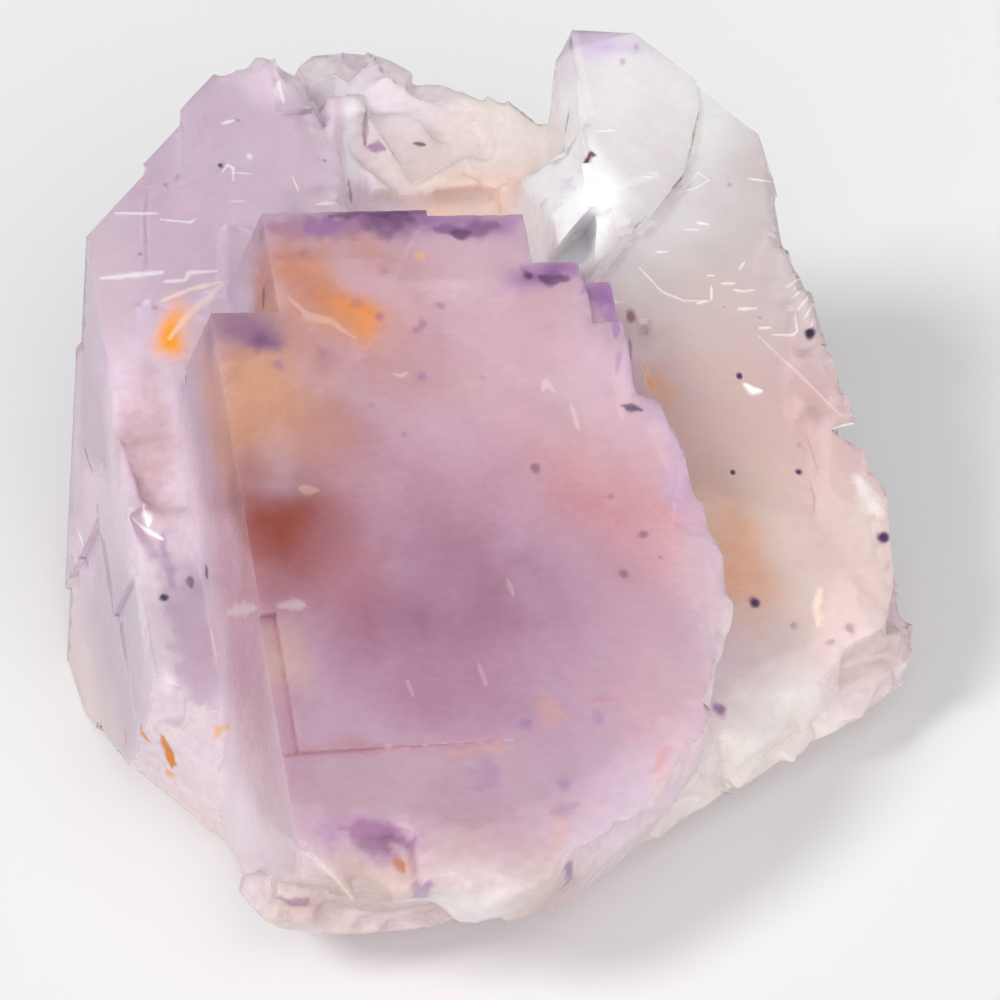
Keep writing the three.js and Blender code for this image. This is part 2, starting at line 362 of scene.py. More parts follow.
COLOUR_ZONES: tuple[Zone, ...] = (
    Zone("violet back", (6.0, 14.0, -30.0), (16.0, 12.0, 11.0), "#B595B8", 0.8, 0.1),
    Zone("clear back corner", (24.0, 10.0, -26.0), (9.0, 13.0, 10.0), "#DCD3DA", 0.9, 0.2),
    Zone("peach vein in the back", (15.0, 16.0, -24.0), (3.0, 9.0, 12.0), "#D8B49C", 0.6, 0.0, 20.0),
    Zone("left crystal", (-2.0, 6.0, -10.0), (12.0, 16.0, 6.0), "#D6C0D7", 0.9, 0.5),
    Zone("clear right crystal", (37.0, 4.0, -10.0), (14.0, 18.0, 16.0), "#D8CDCD", 0.95, 0.5, milk=0.15),
    Zone("clear upper right plate", (32.0, 9.0, -6.0), (7.5, 11.0, 9.0), "#E0DEE0", 0.9, 0.5, milk=0.4),
    Zone("peach lower right", (36.0, -18.0, -10.0), (14.0, 17.0, 9.0), "#EAC0B3", 0.9, 0.3),
    Zone("pale lower right", (40.5, -27.0, -8.0), (9.5, 13.0, 9.0), "#DFC9C2", 0.9, 0.3, milk=0.35),
    Zone("orange under the right face", (33.6, -24.6, -8.0), (3.4, 6.0, 4.0), "#D99A70", 0.95, 0.1, 12.0),
    Zone("orange by the right edge", (29.6, -11.4, -6.8), (1.5, 3.2, 3.0), "#DBA379", 0.8, 0.1),
    Zone("cream saddle", (22.0, 12.5, -13.5), (10.0, 9.0, 6.0), "#D3C6C0", 0.95, 0.4, milk=0.5),
    Zone("peach saddle floor", (21.0, 7.5, -13.5), (8.5, 4.5, 3.5), "#DBBCAB", 0.95, 0.3, milk=0.5),
    # Partly painted highlight: pale frosted facets, whitened as if they caught the light from the left.
    Zone("pale facets with painted highlight", (26.0, 3.6, -8.0), (4.2, 6.5, 9.0), "#EAE9EC", 1.0, 0.65, milk=0.8),
    # Painted light: this recess lies in shade, and its colour is lightened to make up for the shade.
    Zone("recess painted lighter", (27.0, 1.6, -7.4), (1.8, 3.4, 2.4), "#D4D2D7", 1.0, 0.4, milk=0.7),
    Zone("white lens", (11.8, 12.0, -12.5), (1.9, 5.5, 3.0), "#ECE9EE", 0.9, 0.3, milk=0.6),
    Zone("violet notch", (26.2, 6.0, -6.0), (1.1, 1.7, 3.0), "#A58DB8", 0.5, 0.1),
    Zone("clear crest", (15.0, 19.5, -14.5), (8.0, 6.0, 4.0), "#DDD4DC", 0.9, 0.4, milk=0.4),
    Zone("pale left edge", (-8.6, 3.0, -13.0), (3.4, 16.0, 6.0), "#D9C6D6", 0.5, 0.1),
    Zone("pale lower left", (-9.0, -24.0, -22.0), (6.0, 12.0, 12.0), "#AA9BAC", 0.9, 0.4, milk=0.2),
    Zone("cream band", (-7.6, -13.5, -11.6), (2.6, 8.5, 3.0), "#B3949B", 0.9, 0.3, milk=0.3),
    Zone("pink left side", (-5.0, -30.0, -4.5), (2.6, 24.0, 7.5), "#B08590", 0.9, 0.3),
    Zone("pink front block", (17.0, -11.0, -2.0), (14.0, 15.0, 7.0), "#DDB5C1", 0.9, 0.2, milk=0.15),
    Zone("salmon", (21.0, -22.0, -2.0), (8.0, 8.0, 5.0), "#C28278", 0.9, 0.0),
    Zone("rose", (24.5, -27.5, -2.0), (7.5, 9.5, 5.0), "#CE8C94", 0.95, 0.0),
    Zone("mauve", (8.0, -34.0, -3.0), (20.0, 15.0, 9.0), "#A57491", 0.95, 0.2),
    Zone("violet body", (9.0, -23.0, -2.0), (12.0, 11.0, 6.0), "#B07D96", 0.8, 0.1),
    Zone("peach veil", (8.5, -12.5, -1.5), (7.0, 6.0, 4.0), "#B27F80", 0.7, 0.0),
    Zone("mauve core", (7.0, -29.8, -2.0), (11.0, 6.0, 4.5), "#7B4564", 0.7, 0.0),
    Zone("grey lilac foot", (4.0, -47.0, -2.0), (14.0, 6.5, 5.0), "#B898A5", 0.9, 0.2),
    Zone("rosy veil by the tan", (2.0, -17.5, -1.5), (5.0, 9.0, 4.0), "#A66866", 0.8, 0.0),
    Zone("rosy veil by the rust", (0.6, -28.0, -1.0), (5.5, 6.5, 4.0), "#A26674", 0.8, 0.0),
    Zone("tan", (-3.0, -14.6, -1.5), (7.0, 9.0, 5.0), "#BE866A", 1.0, 0.25),
    Zone("orange brown", (3.4, -6.0, -2.5), (9.0, 7.0, 5.0), "#BB785A", 1.0, 0.3),
    Zone("amber core", (5.6, -8.3, -0.5), (2.9, 2.3, 2.5), "#DC8430", 0.85, 0.0),
    Zone("rust", (-3.0, -24.2, -0.5), (5.0, 6.4, 4.0), "#84301C", 1.0, 0.15),
    Zone("violet rim of the top edge", (9.5, -0.4, -1.0), (13.0, 2.3, 4.5), "#946890", 0.95, 0.1),
    Zone("violet rim of the second step", (20.6, -5.2, -0.8), (3.2, 1.7, 3.5), "#8A5C90", 1.0, 0.2),
    Zone("violet rim of the third step", (24.5, -7.4, -0.8), (2.2, 2.2, 3.0), "#936699", 0.9, 0.2),
    Zone("violet rim of the shoulder", (-3.0, -9.2, -0.8), (3.8, 2.3, 3.0), "#91708A", 0.9, 0.2),
    Zone("violet spot of the shoulder", (-1.5, -10.0, -0.3), (1.6, 1.4, 1.5), "#75506F", 0.8, 0.1),
    Zone("pale right border", (22.8, -15.6, -1.5), (5.0, 8.0, 4.0), "#DDBCCB", 0.85, 0.2, milk=0.3),
    Zone("pale lower right border", (23.5, -39.5, -1.5), (7.5, 8.0, 4.0), "#D6AFBC", 0.75, 0.1, milk=0.1),
    Zone("lilac right edge", (27.0, -16.0, -1.0), (1.8, 14.0, 3.0), "#BF9ACC", 0.7, 0.1, 8.0),
    Zone("cream front rim", (6.0, -55.0, -6.0), (20.0, 7.0, 9.0), "#B3988F", 0.95, 0.6, milk=0.4),
    Zone("cream lower right rim", (33.0, -40.5, -10.0), (12.0, 8.0, 6.0), "#DAD3CF", 0.95, 0.5, milk=0.5),
    Zone("white front tip", (7.0, -53.0, -4.0), (6.5, 3.6, 6.0), "#C9C3C5", 0.9, 0.2, milk=0.3),
    Zone("beige left tip", (-3.0, -49.0, -10.5), (5.0, 4.0, 4.0), "#B39C96", 0.9, 0.3, milk=0.4),
    Zone("beige foot", (-0.6, -51.6, -2.0), (5.0, 2.6, 2.6), "#B89E97", 0.9, 0.3, milk=0.6),
    Zone("cream lower corner", (30.0, -36.6, -3.0), (5.4, 9.5, 3.5), "#E8DAD5", 0.9, 0.2, milk=0.4),
    Zone("violet foot ledge", (0.4, -48.3, -0.8), (5.0, 1.5, 1.8), "#93658F", 0.9, 0.2, milk=0.8),
    Zone("beige left patch", (-4.0, -34.6, -0.5), (3.4, 3.6, 3.0), "#BE9F96", 0.8, 0.1, milk=0.3),
    Zone("iron stain", (-4.3, -3.9, -11.2), (2.1, 3.3, 1.8), "#E8930F", 1.0, 0.2, -24.0, 0.9),
    Zone("lilac upper tip", (30.6, 16.8, -5.0), (4.2, 1.6, 3.5), "#C2A5D0", 0.75, 0.1),
)
WORN_PLACES: tuple[Zone, ...] = (
    Zone("front rim", (6.0, -57.5, -6.0), (22.0, 8.5, 10.0), strength=1.0, core=0.8),
    Zone("lower right rim", (36.0, -39.0, -9.5), (15.0, 11.0, 8.0), strength=0.3, core=0.7),
    Zone("left band", (-7.6, -14.0, -11.8), (3.5, 9.5, 4.0), strength=1.0, core=0.8),
    Zone("foot ledge", (0.8, -49.6, -1.2), (5.6, 3.2, 2.6), strength=0.8, core=0.5),
    Zone("lower left", (-6.0, -39.0, -18.0), (6.0, 14.0, 12.0), strength=0.35, core=0.6),
    Zone("left tip", (6.6, 18.6, -12.5), (4.0, 3.6, 4.0), strength=0.9, core=0.6),
    Zone("left border", (10.8, 11.0, -12.0), (2.4, 6.5, 3.0), strength=0.8, core=0.5),
    Zone("saddle", (20.0, 13.0, -13.8), (10.0, 7.0, 4.0), strength=0.35, core=0.6),
    Zone("right edge", (28.0, -30.0, -3.0), (4.0, 18.0, 4.5), strength=0.5, core=0.7, turn_deg=8.0),
    Zone("lower edge", (18.0, -49.0, -3.0), (14.0, 5.0, 4.5), strength=0.5, core=0.6, turn_deg=35.0),
)


@dataclass(frozen=True)
class Face:
    """A flat face of the stone that marks lie on.

    Attributes:
        level: Where it lies in lattice mm along the axis that it looks along.
        across: That axis, counted from u: 0 or 2.
    """

    level: float
    across: int = 2

    def place(self, first: float, second: float) -> Point:
        """The lattice point of a place that is given along the other two axes."""
        return (first, second, self.level) if self.across == 2 else (self.level, first, second)

    def mark(
        self,
        path: Sequence[Place],
        width: float,
        tone: Tone = Tone.FROST_AND_GLINT,
        strength: float = 0.6,
        height: float = 0.04,
    ) -> Mark:
        """A mark on the face.

        Args:
            path: The places that it runs through.
            width: Its width in mm.
            tone: Its colour.
            strength: Share of the colour on its middle line.
            height: How far it stands out of the face in mm.

        Returns:
            The mark.
        """
        return Mark(tuple(self.place(*place) for place in path), width, tone, strength, height, self.across)

    def flush(self, path: Sequence[Place], width: float, tone: Tone, strength: float) -> Mark:
        """A mark that colours the face and doesn't stand out of it."""
        return self.mark(path, width, tone, strength, 0.0)

    def dots(self, places: Sequence[Place], width: float, tone: Tone, strength: float = 0.85) -> list[Mark]:
        """Round flush inclusions of one width and colour, one at each place."""
        return [self.flush((place,), width, tone, strength) for place in places]


def left_face_marks() -> list[Mark]:
    """Fine cleavage steps, white with frosted lips and painted glints, specks and the iron stain's pale rim
    on the left crystal's front face.
    """
    face = Face(-11.3)
    steps = [
        face.mark(((-7.5, 6.5), (-4.2, 6.4)), 0.3),
        face.mark(((-4.1, 5.9), (-1.9, 5.6), (-1.4, 5.9)), 0.3),
        face.mark(((-9.3, 1.1), (-4.6, 1.5)), 0.6),
        face.mark(((-4.6, 0.7), (-3.0, 0.8), (-2.6, 1.4), (-0.4, 1.5)), 0.5),
        face.mark(((1.2, 9.8), (1.7, 10.4), (2.1, 10.1), (1.9, 9.0)), 0.3),
        face.mark(((2.1, 9.7), (3.4, 9.6)), 0.22),
        face.mark(((3.5, 11.1),), 0.7),
        face.mark(((1.8, 13.9), (2.8, 14.2)), 0.3),
        face.mark(((6.5, 9.4), (6.8, 8.1)), 0.25),
        face.mark(((8.0, 6.9), (9.9, 7.1)), 0.35),
        face.mark(((1.4, 7.3), (2.6, 7.3)), 0.22, Tone.CREAM),
        Face(-10.7).mark(((6.4, 17.0), (6.5, 15.2)), 0.5),
    ]
    stain_rims = [
        face.mark(((-0.2, 0.4), (-1.7, -0.9), (-3.1, -2.0), (-4.9, -4.0)), 0.7, Tone.CREAM),
        face.mark(((-5.0, -0.9), (-2.8, 0.0), (-0.3, 0.6)), 0.5, Tone.CREAM, 0.7),
    ]
    specks = [
        *face.dots([(1.1, 10.4)], 0.55, Tone.DARK, 0.95),
        *face.dots([(3.1, 14.2), (-6.1, 3.0), (-3.3, 8.8), (9.2, 10.6)], 0.4, Tone.DARK, 0.6),
        *face.dots([(-5.6, -1.4), (-4.9, 9.3)], 0.5, Tone.BROWN, 0.6),
    ]
    return steps + stain_rims + specks


def left_side_marks() -> list[Mark]:
    """Thin dark inclusions, and pale scratches whose white is partly painted glint, on the left crystal's
    side and on the block below it.
    """
    side = Face(-9.9, across=0)
    lines = [
        side.flush(((-7.6, -20.8), (-10.4, -19.6)), 0.3, Tone.DARK, 0.8),
        side.flush(((-11.0, -16.0), (-12.2, -15.9)), 0.35, Tone.DARK, 0.6),
        side.flush(((-13.0, -19.7), (-14.0, -19.7)), 0.35, Tone.DARK, 0.6),
        side.flush(((-13.8, -26.9), (-15.2, -26.3)), 0.6, Tone.VIOLET, 0.6),
        side.mark(((-12.1, -25.8), (-13.9, -24.8)), 0.4, Tone.FROST_AND_GLINT, 0.9, 0.05),
        Face(-9.4, across=0).flush(((-29.4, -23.2), (-30.6, -23.4)), 0.4, Tone.AMBER, 0.9),
        Mark(((-9.4, -31.4, -18.2), (-9.2, -32.5, -19.0)), 0.6, Tone.AMBER, 0.9, 0.0, 0),
        Mark(
            ((-8.5, -33.1, -17.0), (-8.0, -33.8, -18.0), (-7.5, -34.4, -19.6)), 1.0, Tone.AMBER, 1.0, 0.0, 0
        ),
        *Face(-7.6, across=0).dots([(-34.3, -20.4)], 1.0, Tone.ORANGE, 0.9),
    ]
    ledge_face = Face(-12.9)
    ledge = [
        ledge_face.flush(((-9.0, -20.0), (-8.9, -25.7), (-8.4, -30.6)), 2.2, Tone.FROST_AND_GLINT, 0.3),
        ledge_face.flush(((-7.4, -19.2), (-7.2, -23.0)), 0.9, Tone.VIOLET, 0.45),
        ledge_face.flush(((-5.8, -22.4), (-5.8, -23.2)), 0.7, Tone.DARK, 0.7),
        Mark(((-8.5, -17.2, -12.4), (-8.3, -18.2, -12.6)), 0.8, Tone.FROST_AND_GLINT, 1.0, 0.08),
        ledge_face.mark(((-9.8, -17.4), (-7.4, -19.4)), 0.4, Tone.FROST_AND_GLINT, 0.7, 0.05),
        *ledge_face.dots([(-7.9, -23.9)], 0.65, Tone.BLACK, 0.95),
        *Face(-13.4).dots([(-5.3, -34.3)], 0.9, Tone.ORANGE, 0.8),
    ]
    flank = Face(-5.0, across=0)
    riser = Face(0.0, across=0)
    inner = [
        flank.flush(((-22.3, -11.2), (-23.2, -11.4)), 1.2, Tone.DARK, 0.9),
        flank.mark(((-26.6, -12.6), (-29.4, -12.2)), 0.6, Tone.CREAM, 0.9, 0.05),
        flank.flush(((-18.6, -6.5), (-19.6, -6.4)), 0.7, Tone.VIOLET, 0.6),
        flank.flush(((-27.5, -8.2), (-30.6, -0.9)), 0.8, Tone.FROST_AND_GLINT, 0.25),
        riser.flush(((-4.6, -2.4), (-5.8, -3.6)), 0.7, Tone.MAROON, 0.9),
        riser.flush(((-4.6, -5.2), (-5.4, -5.4)), 0.45, Tone.BROWN, 0.5),
    ]
    return lines + ledge + inner


def main_face_marks() -> list[Mark]:
    """Inclusions, stains and the tinted lips of the ledges on the main crystal's front face."""
    face = Face(0.0)
    lips = [
        face.flush(((-4.6, -41.8), (-1.0, -41.8), (3.3, -41.9)), 1.2, Tone.BROWN, 0.35),
        face.flush(((3.3, -41.9), (7.0, -41.9), (11.2, -42.0)), 0.8, Tone.PINK, 0.25),
        face.flush(((6.8, -42.6), (11.4, -42.3)), 1.0, Tone.ORANGE, 0.25),
        Mark(((-1.9, -47.6, -0.5), (0.6, -48.2, -1.0), (3.0, -48.6, -1.5)), 1.5, Tone.MAUVE, 0.6, 0.0),
        face.flush(((-3.6, -31.0), (-1.8, -31.0)), 1.1, Tone.FROST_AND_GLINT, 0.25),
        face.flush(((17.5, -39.2), (20.1, -39.1)), 0.5, Tone.PINK, 0.4),
        face.flush(((20.0, -42.4), (21.2, -41.4)), 0.9, Tone.PINK, 0.3),
        face.flush(((21.2, -44.6), (22.8, -43.0)), 0.9, Tone.PINK, 0.3),
        face.flush(((13.2, -47.4), (15.2, -46.9)), 1.3, Tone.MAUVE, 0.35),
        face.flush(((14.0, -48.0), (13.3, -49.6)), 1.3, Tone.ORANGE, 0.25),
        Mark(((21.8, -43.4, 0.0), (21.8, -45.4, 0.0), (21.0, -46.8, -0.3)), 1.4, Tone.ORANGE, 0.3, 0.0),
        face.flush(((14.1, -38.8), (14.5, -40.0), (13.9, -40.8)), 1.9, Tone.ORANGE, 0.3),
        Mark(((2.2, -49.2, -2.0), (2.7, -50.2, -2.2)), 1.1, Tone.AMBER, 0.7, 0.0),
    ]
    wisps = [
        face.flush(((7.6, -13.2), (8.1, -13.4), (8.7, -13.1)), 0.4, Tone.CREAM, 0.35),
        face.flush(((-0.7, -22.0), (0.7, -22.2)), 0.7, Tone.CREAM, 0.25),
        face.flush(((20.4, -16.1), (20.6, -18.1)), 0.45, Tone.CREAM, 0.4),
        face.flush(((24.9, -11.7), (24.3, -13.6)), 0.5, Tone.VIOLET, 0.5),
        face.flush(((13.2, -29.5), (13.4, -30.9)), 0.4, Tone.CREAM, 0.2),
        face.flush(((9.9, -36.0), (10.2, -37.6)), 0.45, Tone.CREAM, 0.2),
        face.flush(((4.6, -37.0), (4.8, -38.2)), 0.45, Tone.CREAM, 0.2),
    ]
    specks = [
        *face.dots([(23.9, -26.5), (16.8, -21.0), (21.8, -29.6)], 0.75, Tone.MAROON, 0.65),
        *face.dots([(22.0, -23.5), (24.8, -28.4)], 0.55, Tone.MAUVE, 0.6),
        *face.dots([(13.0, -25.3), (7.6, -18.0), (14.2, -13.8), (5.5, -15.6)], 0.5, Tone.MAUVE, 0.45),
        *face.dots([(8.9, -44.6)], 3.0, Tone.VIOLET, 0.4),
        *face.dots([(12.6, -40.6), (18.0, -40.5), (14.5, -45.4)], 1.2, Tone.VIOLET, 0.45),
        *Face(-2.4).dots([(14.6, -51.1)], 1.4, Tone.VIOLET, 0.8),
        *Face(-2.2).dots([(3.7, -51.9)], 1.2, Tone.VIOLET, 0.6),
        *Face(-3.7, across=0).dots([(-49.4, -9.0)], 1.0, Tone.MAUVE, 0.7),
    ]
    bands = [
        face.flush(((0.2, -1.2), (4.0, -1.4), (7.4, -1.4)), 2.4, Tone.MAUVE, 0.6),
        face.flush(((3.0, -1.4), (5.6, -0.9)), 1.7, Tone.VIOLET, 0.7),
        face.flush(((5.0, -0.4), (7.1, -0.2)), 0.8, Tone.DARK, 0.7),
        face.flush(((7.1, -0.1), (12.9, -0.1)), 0.6, Tone.DARK, 0.7),
        face.flush(((7.0, -0.4), (9.8, -0.9), (12.8, -0.4)), 2.8, Tone.PLUM, 0.5),
        face.flush(((8.4, -0.6), (9.1, -2.2)), 2.0, Tone.DARK, 0.4),
        face.flush(((9.4, -0.3), (11.0, -0.7)), 1.5, Tone.DARK, 0.55),
        face.flush(((12.2, -1.3), (16.0, -1.3), (19.8, -0.9)), 2.6, Tone.VIOLET, 0.5),
        face.flush(((12.8, -1.6), (15.0, -1.9), (17.4, -1.3)), 1.5, Tone.PLUM, 0.65),
        face.flush(((13.9, -2.0), (15.2, -1.9)), 1.0, Tone.DARK, 0.6),
        face.flush(((18.9, -5.2), (20.8, -5.1), (23.0, -5.1)), 2.4, Tone.VIOLET, 0.6),
        *face.dots([(19.1, -5.6)], 0.9, Tone.DARK, 0.85),
        face.flush(((20.0, -5.7), (20.9, -6.0), (22.0, -5.9)), 1.1, Tone.DARK, 0.75),
        face.flush(((23.0, -6.9), (25.4, -6.7)), 2.4, Tone.VIOLET, 0.75),
        face.flush(((25.2, -7.6), (25.1, -8.9), (24.8, -10.8)), 1.1, Tone.VIOLET, 0.7),
        face.flush(((-3.9, -9.3), (-1.1, -9.6)), 2.6, Tone.MAUVE, 0.6),
        *face.dots([(-1.8, -10.4)], 1.5, Tone.PLUM, 0.5),
        face.flush(((24.2, -16.3), (25.6, -16.7)), 0.8, Tone.DARK, 0.85),
    ]
    clouds = [
        *face.dots([(12.0, -7.8), (9.8, -9.8), (10.5, -9.2), (7.3, -8.6)], 0.8, Tone.MAUVE, 0.55),
        *face.dots([(5.8, -7.4), (8.4, -4.9), (2.7, -3.2), (2.7, -11.4)], 0.8, Tone.MAUVE, 0.45),
        *face.dots([(-0.7, -12.2), (9.7, -13.4)], 0.9, Tone.VIOLET, 0.5),
        *face.dots([(11.3, -3.8)], 0.9, Tone.ORANGE, 0.7),
        face.flush(((0.9, -6.9), (2.1, -8.4), (3.6, -8.9), (5.2, -10.2)), 0.6, Tone.CREAM, 0.3),
        face.flush(((18.4, -14.9), (18.9, -14.2), (19.4, -15.0)), 0.5, Tone.CREAM, 0.4),
    ]
    return lips + wisps + specks + bands + clouds


def right_face_marks() -> list[Mark]:
    """Cleavage dashes, white with frost and painted glints, specks and stains on the clear crystal on the
    right.
    """
    upper = Face(-4.5)
    lower = Face(-6.0)
    chipped = Face(-7.2)
    wall = Face(27.6, across=0)
    dashes = [
        upper.mark(((31.3, 5.0), (32.0, 4.9)), 0.24),
        upper.mark(((28.2, 8.9), (30.0, 9.0)), 0.17),
        lower.mark(((35.2, 1.6), (36.1, 1.4)), 0.28),
        lower.mark(((34.1, 1.1), (35.2, 1.0)), 0.17),
        lower.mark(((31.6, -0.7), (32.5, -0.7)), 0.24),
        lower.mark(((37.8, -2.4), (38.3, -1.8)), 0.24),
        lower.mark(((35.2, -2.8), (35.8, -2.8)), 0.28),
        lower.mark(((36.2, -3.5), (37.2, -3.5)), 0.35),
        lower.mark(((37.0, -4.0), (37.7, -4.2), (38.7, -4.1)), 0.24),
        lower.mark(((37.1, -5.6), (38.6, -5.6)), 0.32),
        lower.mark(((38.5, -7.2), (39.4, -7.2)), 0.35),
        lower.mark(((39.4, -7.8), (41.0, -7.9), (41.4, -7.6), (41.5, -6.2)), 0.24),
        lower.mark(((34.0, -5.0), (35.0, -4.8)), 0.28),
        lower.mark(((35.4, -3.6), (35.2, -4.8)), 0.21),
        lower.mark(((39.8, 5.0), (40.5, 4.9), (41.6, 4.7)), 0.21),
        chipped.mark(((39.4, -28.2), (38.9, -29.3), (38.8, -30.8)), 1.0, Tone.CREAM, 0.8),
        lower.mark(((36.6, -11.7), (37.1, -12.2), (37.7, -12.3)), 0.9, Tone.FROST_AND_GLINT, 0.9, 0.12),
        lower.mark(((43.9, -19.7), (44.5, -21.4), (45.1, -22.4)), 1.9, Tone.FROST_AND_GLINT, 0.5, 0.06),
        *[lower.mark(((41.2 + 0.3 * i, -4.0 - 0.9 * i), (42.8, -3.0 - 0.9 * i)), 0.21) for i in range(5)],
    ]
    boundaries = [
        upper.mark(((36.9, 12.2), (36.8, 10.0), (36.0, 7.8), (35.7, 6.7)), 0.3, Tone.CREAM, 0.7),
        lower.mark(((34.2, 4.1), (36.0, 5.7), (36.7, 5.0), (35.7, 4.5), (34.2, 4.1)), 0.2, Tone.FROST_AND_GLINT, 0.4),
        lower.mark(((30.1, -1.9), (31.5, -3.9), (33.1, -4.7), (34.7, -4.8)), 0.22, Tone.FROST_AND_GLINT, 0.5),
        lower.mark(((38.3, -7.8), (40.7, -10.8), (43.6, -14.6)), 0.3, Tone.FROST_AND_GLINT, 0.3, 0.03),
    ]
    stains = [
        lower.flush(((29.1, -9.8), (29.4, -11.8)), 0.7, Tone.ORANGE, 0.8),
        lower.flush(((40.6, -15.8), (40.8, -17.6), (40.9, -18.9)), 0.3, Tone.BROWN, 0.45),
        lower.flush(((40.1, -19.4), (40.3, -21.1), (39.8, -22.7)), 0.35, Tone.BROWN, 0.45),
        upper.flush(((27.3, 7.1), (27.8, 6.9)), 0.7, Tone.MAROON, 1.0),
        wall.flush(((11.4, -8.9), (12.4, -7.4)), 0.4, Tone.DARK, 0.7),
        wall.flush(((13.8, -10.0), (14.4, -9.6)), 0.4, Tone.VIOLET, 0.5),
        lower.flush(((28.4, -7.4), (28.2, -9.2)), 0.35, Tone.DARK, 0.6),
    ]
    specks = [
        *lower.dots([(42.3, -7.8)], 0.9, Tone.BLACK, 1.0),
        *lower.dots([(36.3, -11.0), (39.4, -18.9), (34.4, -18.6)], 0.55, Tone.DARK, 1.0),
        *chipped.dots([(34.3, -28.9)], 0.9, Tone.DARK, 1.0),
        *lower.dots([(45.0, -24.4)], 0.9, Tone.DARK, 1.0),
        *lower.dots([(39.9, -16.7), (36.1, -5.4), (38.7, -6.4), (38.3, 4.5)], 0.5, Tone.MAUVE, 0.6),
        *Face(-7.0).dots([(41.0, -31.3), (39.6, -32.2), (36.9, -30.9)], 0.8, Tone.MAUVE, 0.6),
        *Face(-7.5).dots([(29.9, -37.2)], 1.2, Tone.VIOLET, 0.9),
        *Face(-6.6).dots([(28.8, -5.8)], 1.0, Tone.MAROON),
        *upper.dots([(31.5, 14.9), (34.5, 16.0), (32.9, 16.2)], 0.6, Tone.VIOLET, 0.5),
    ]
    return dashes + boundaries + stains + specks


def saddle_marks() -> list[Mark]:
    """Violet inclusions in the rough ground between the crystals."""
    return [
        Face(-13.4).flush(((13.6, 13.0), (14.8, 12.8)), 0.8, Tone.VIOLET, 0.8),
        Face(-13.8).flush(((17.3, 13.4), (18.2, 13.3)), 0.45, Tone.DARK, 0.8),
        Face(-15.0).flush(((12.6, 21.6), (15.6, 21.4)), 1.4, Tone.VIOLET, 0.35),
        Face(-13.4).flush(((11.4, 9.9), (11.8, 8.8)), 0.5, Tone.DARK, 0.5),
    ]


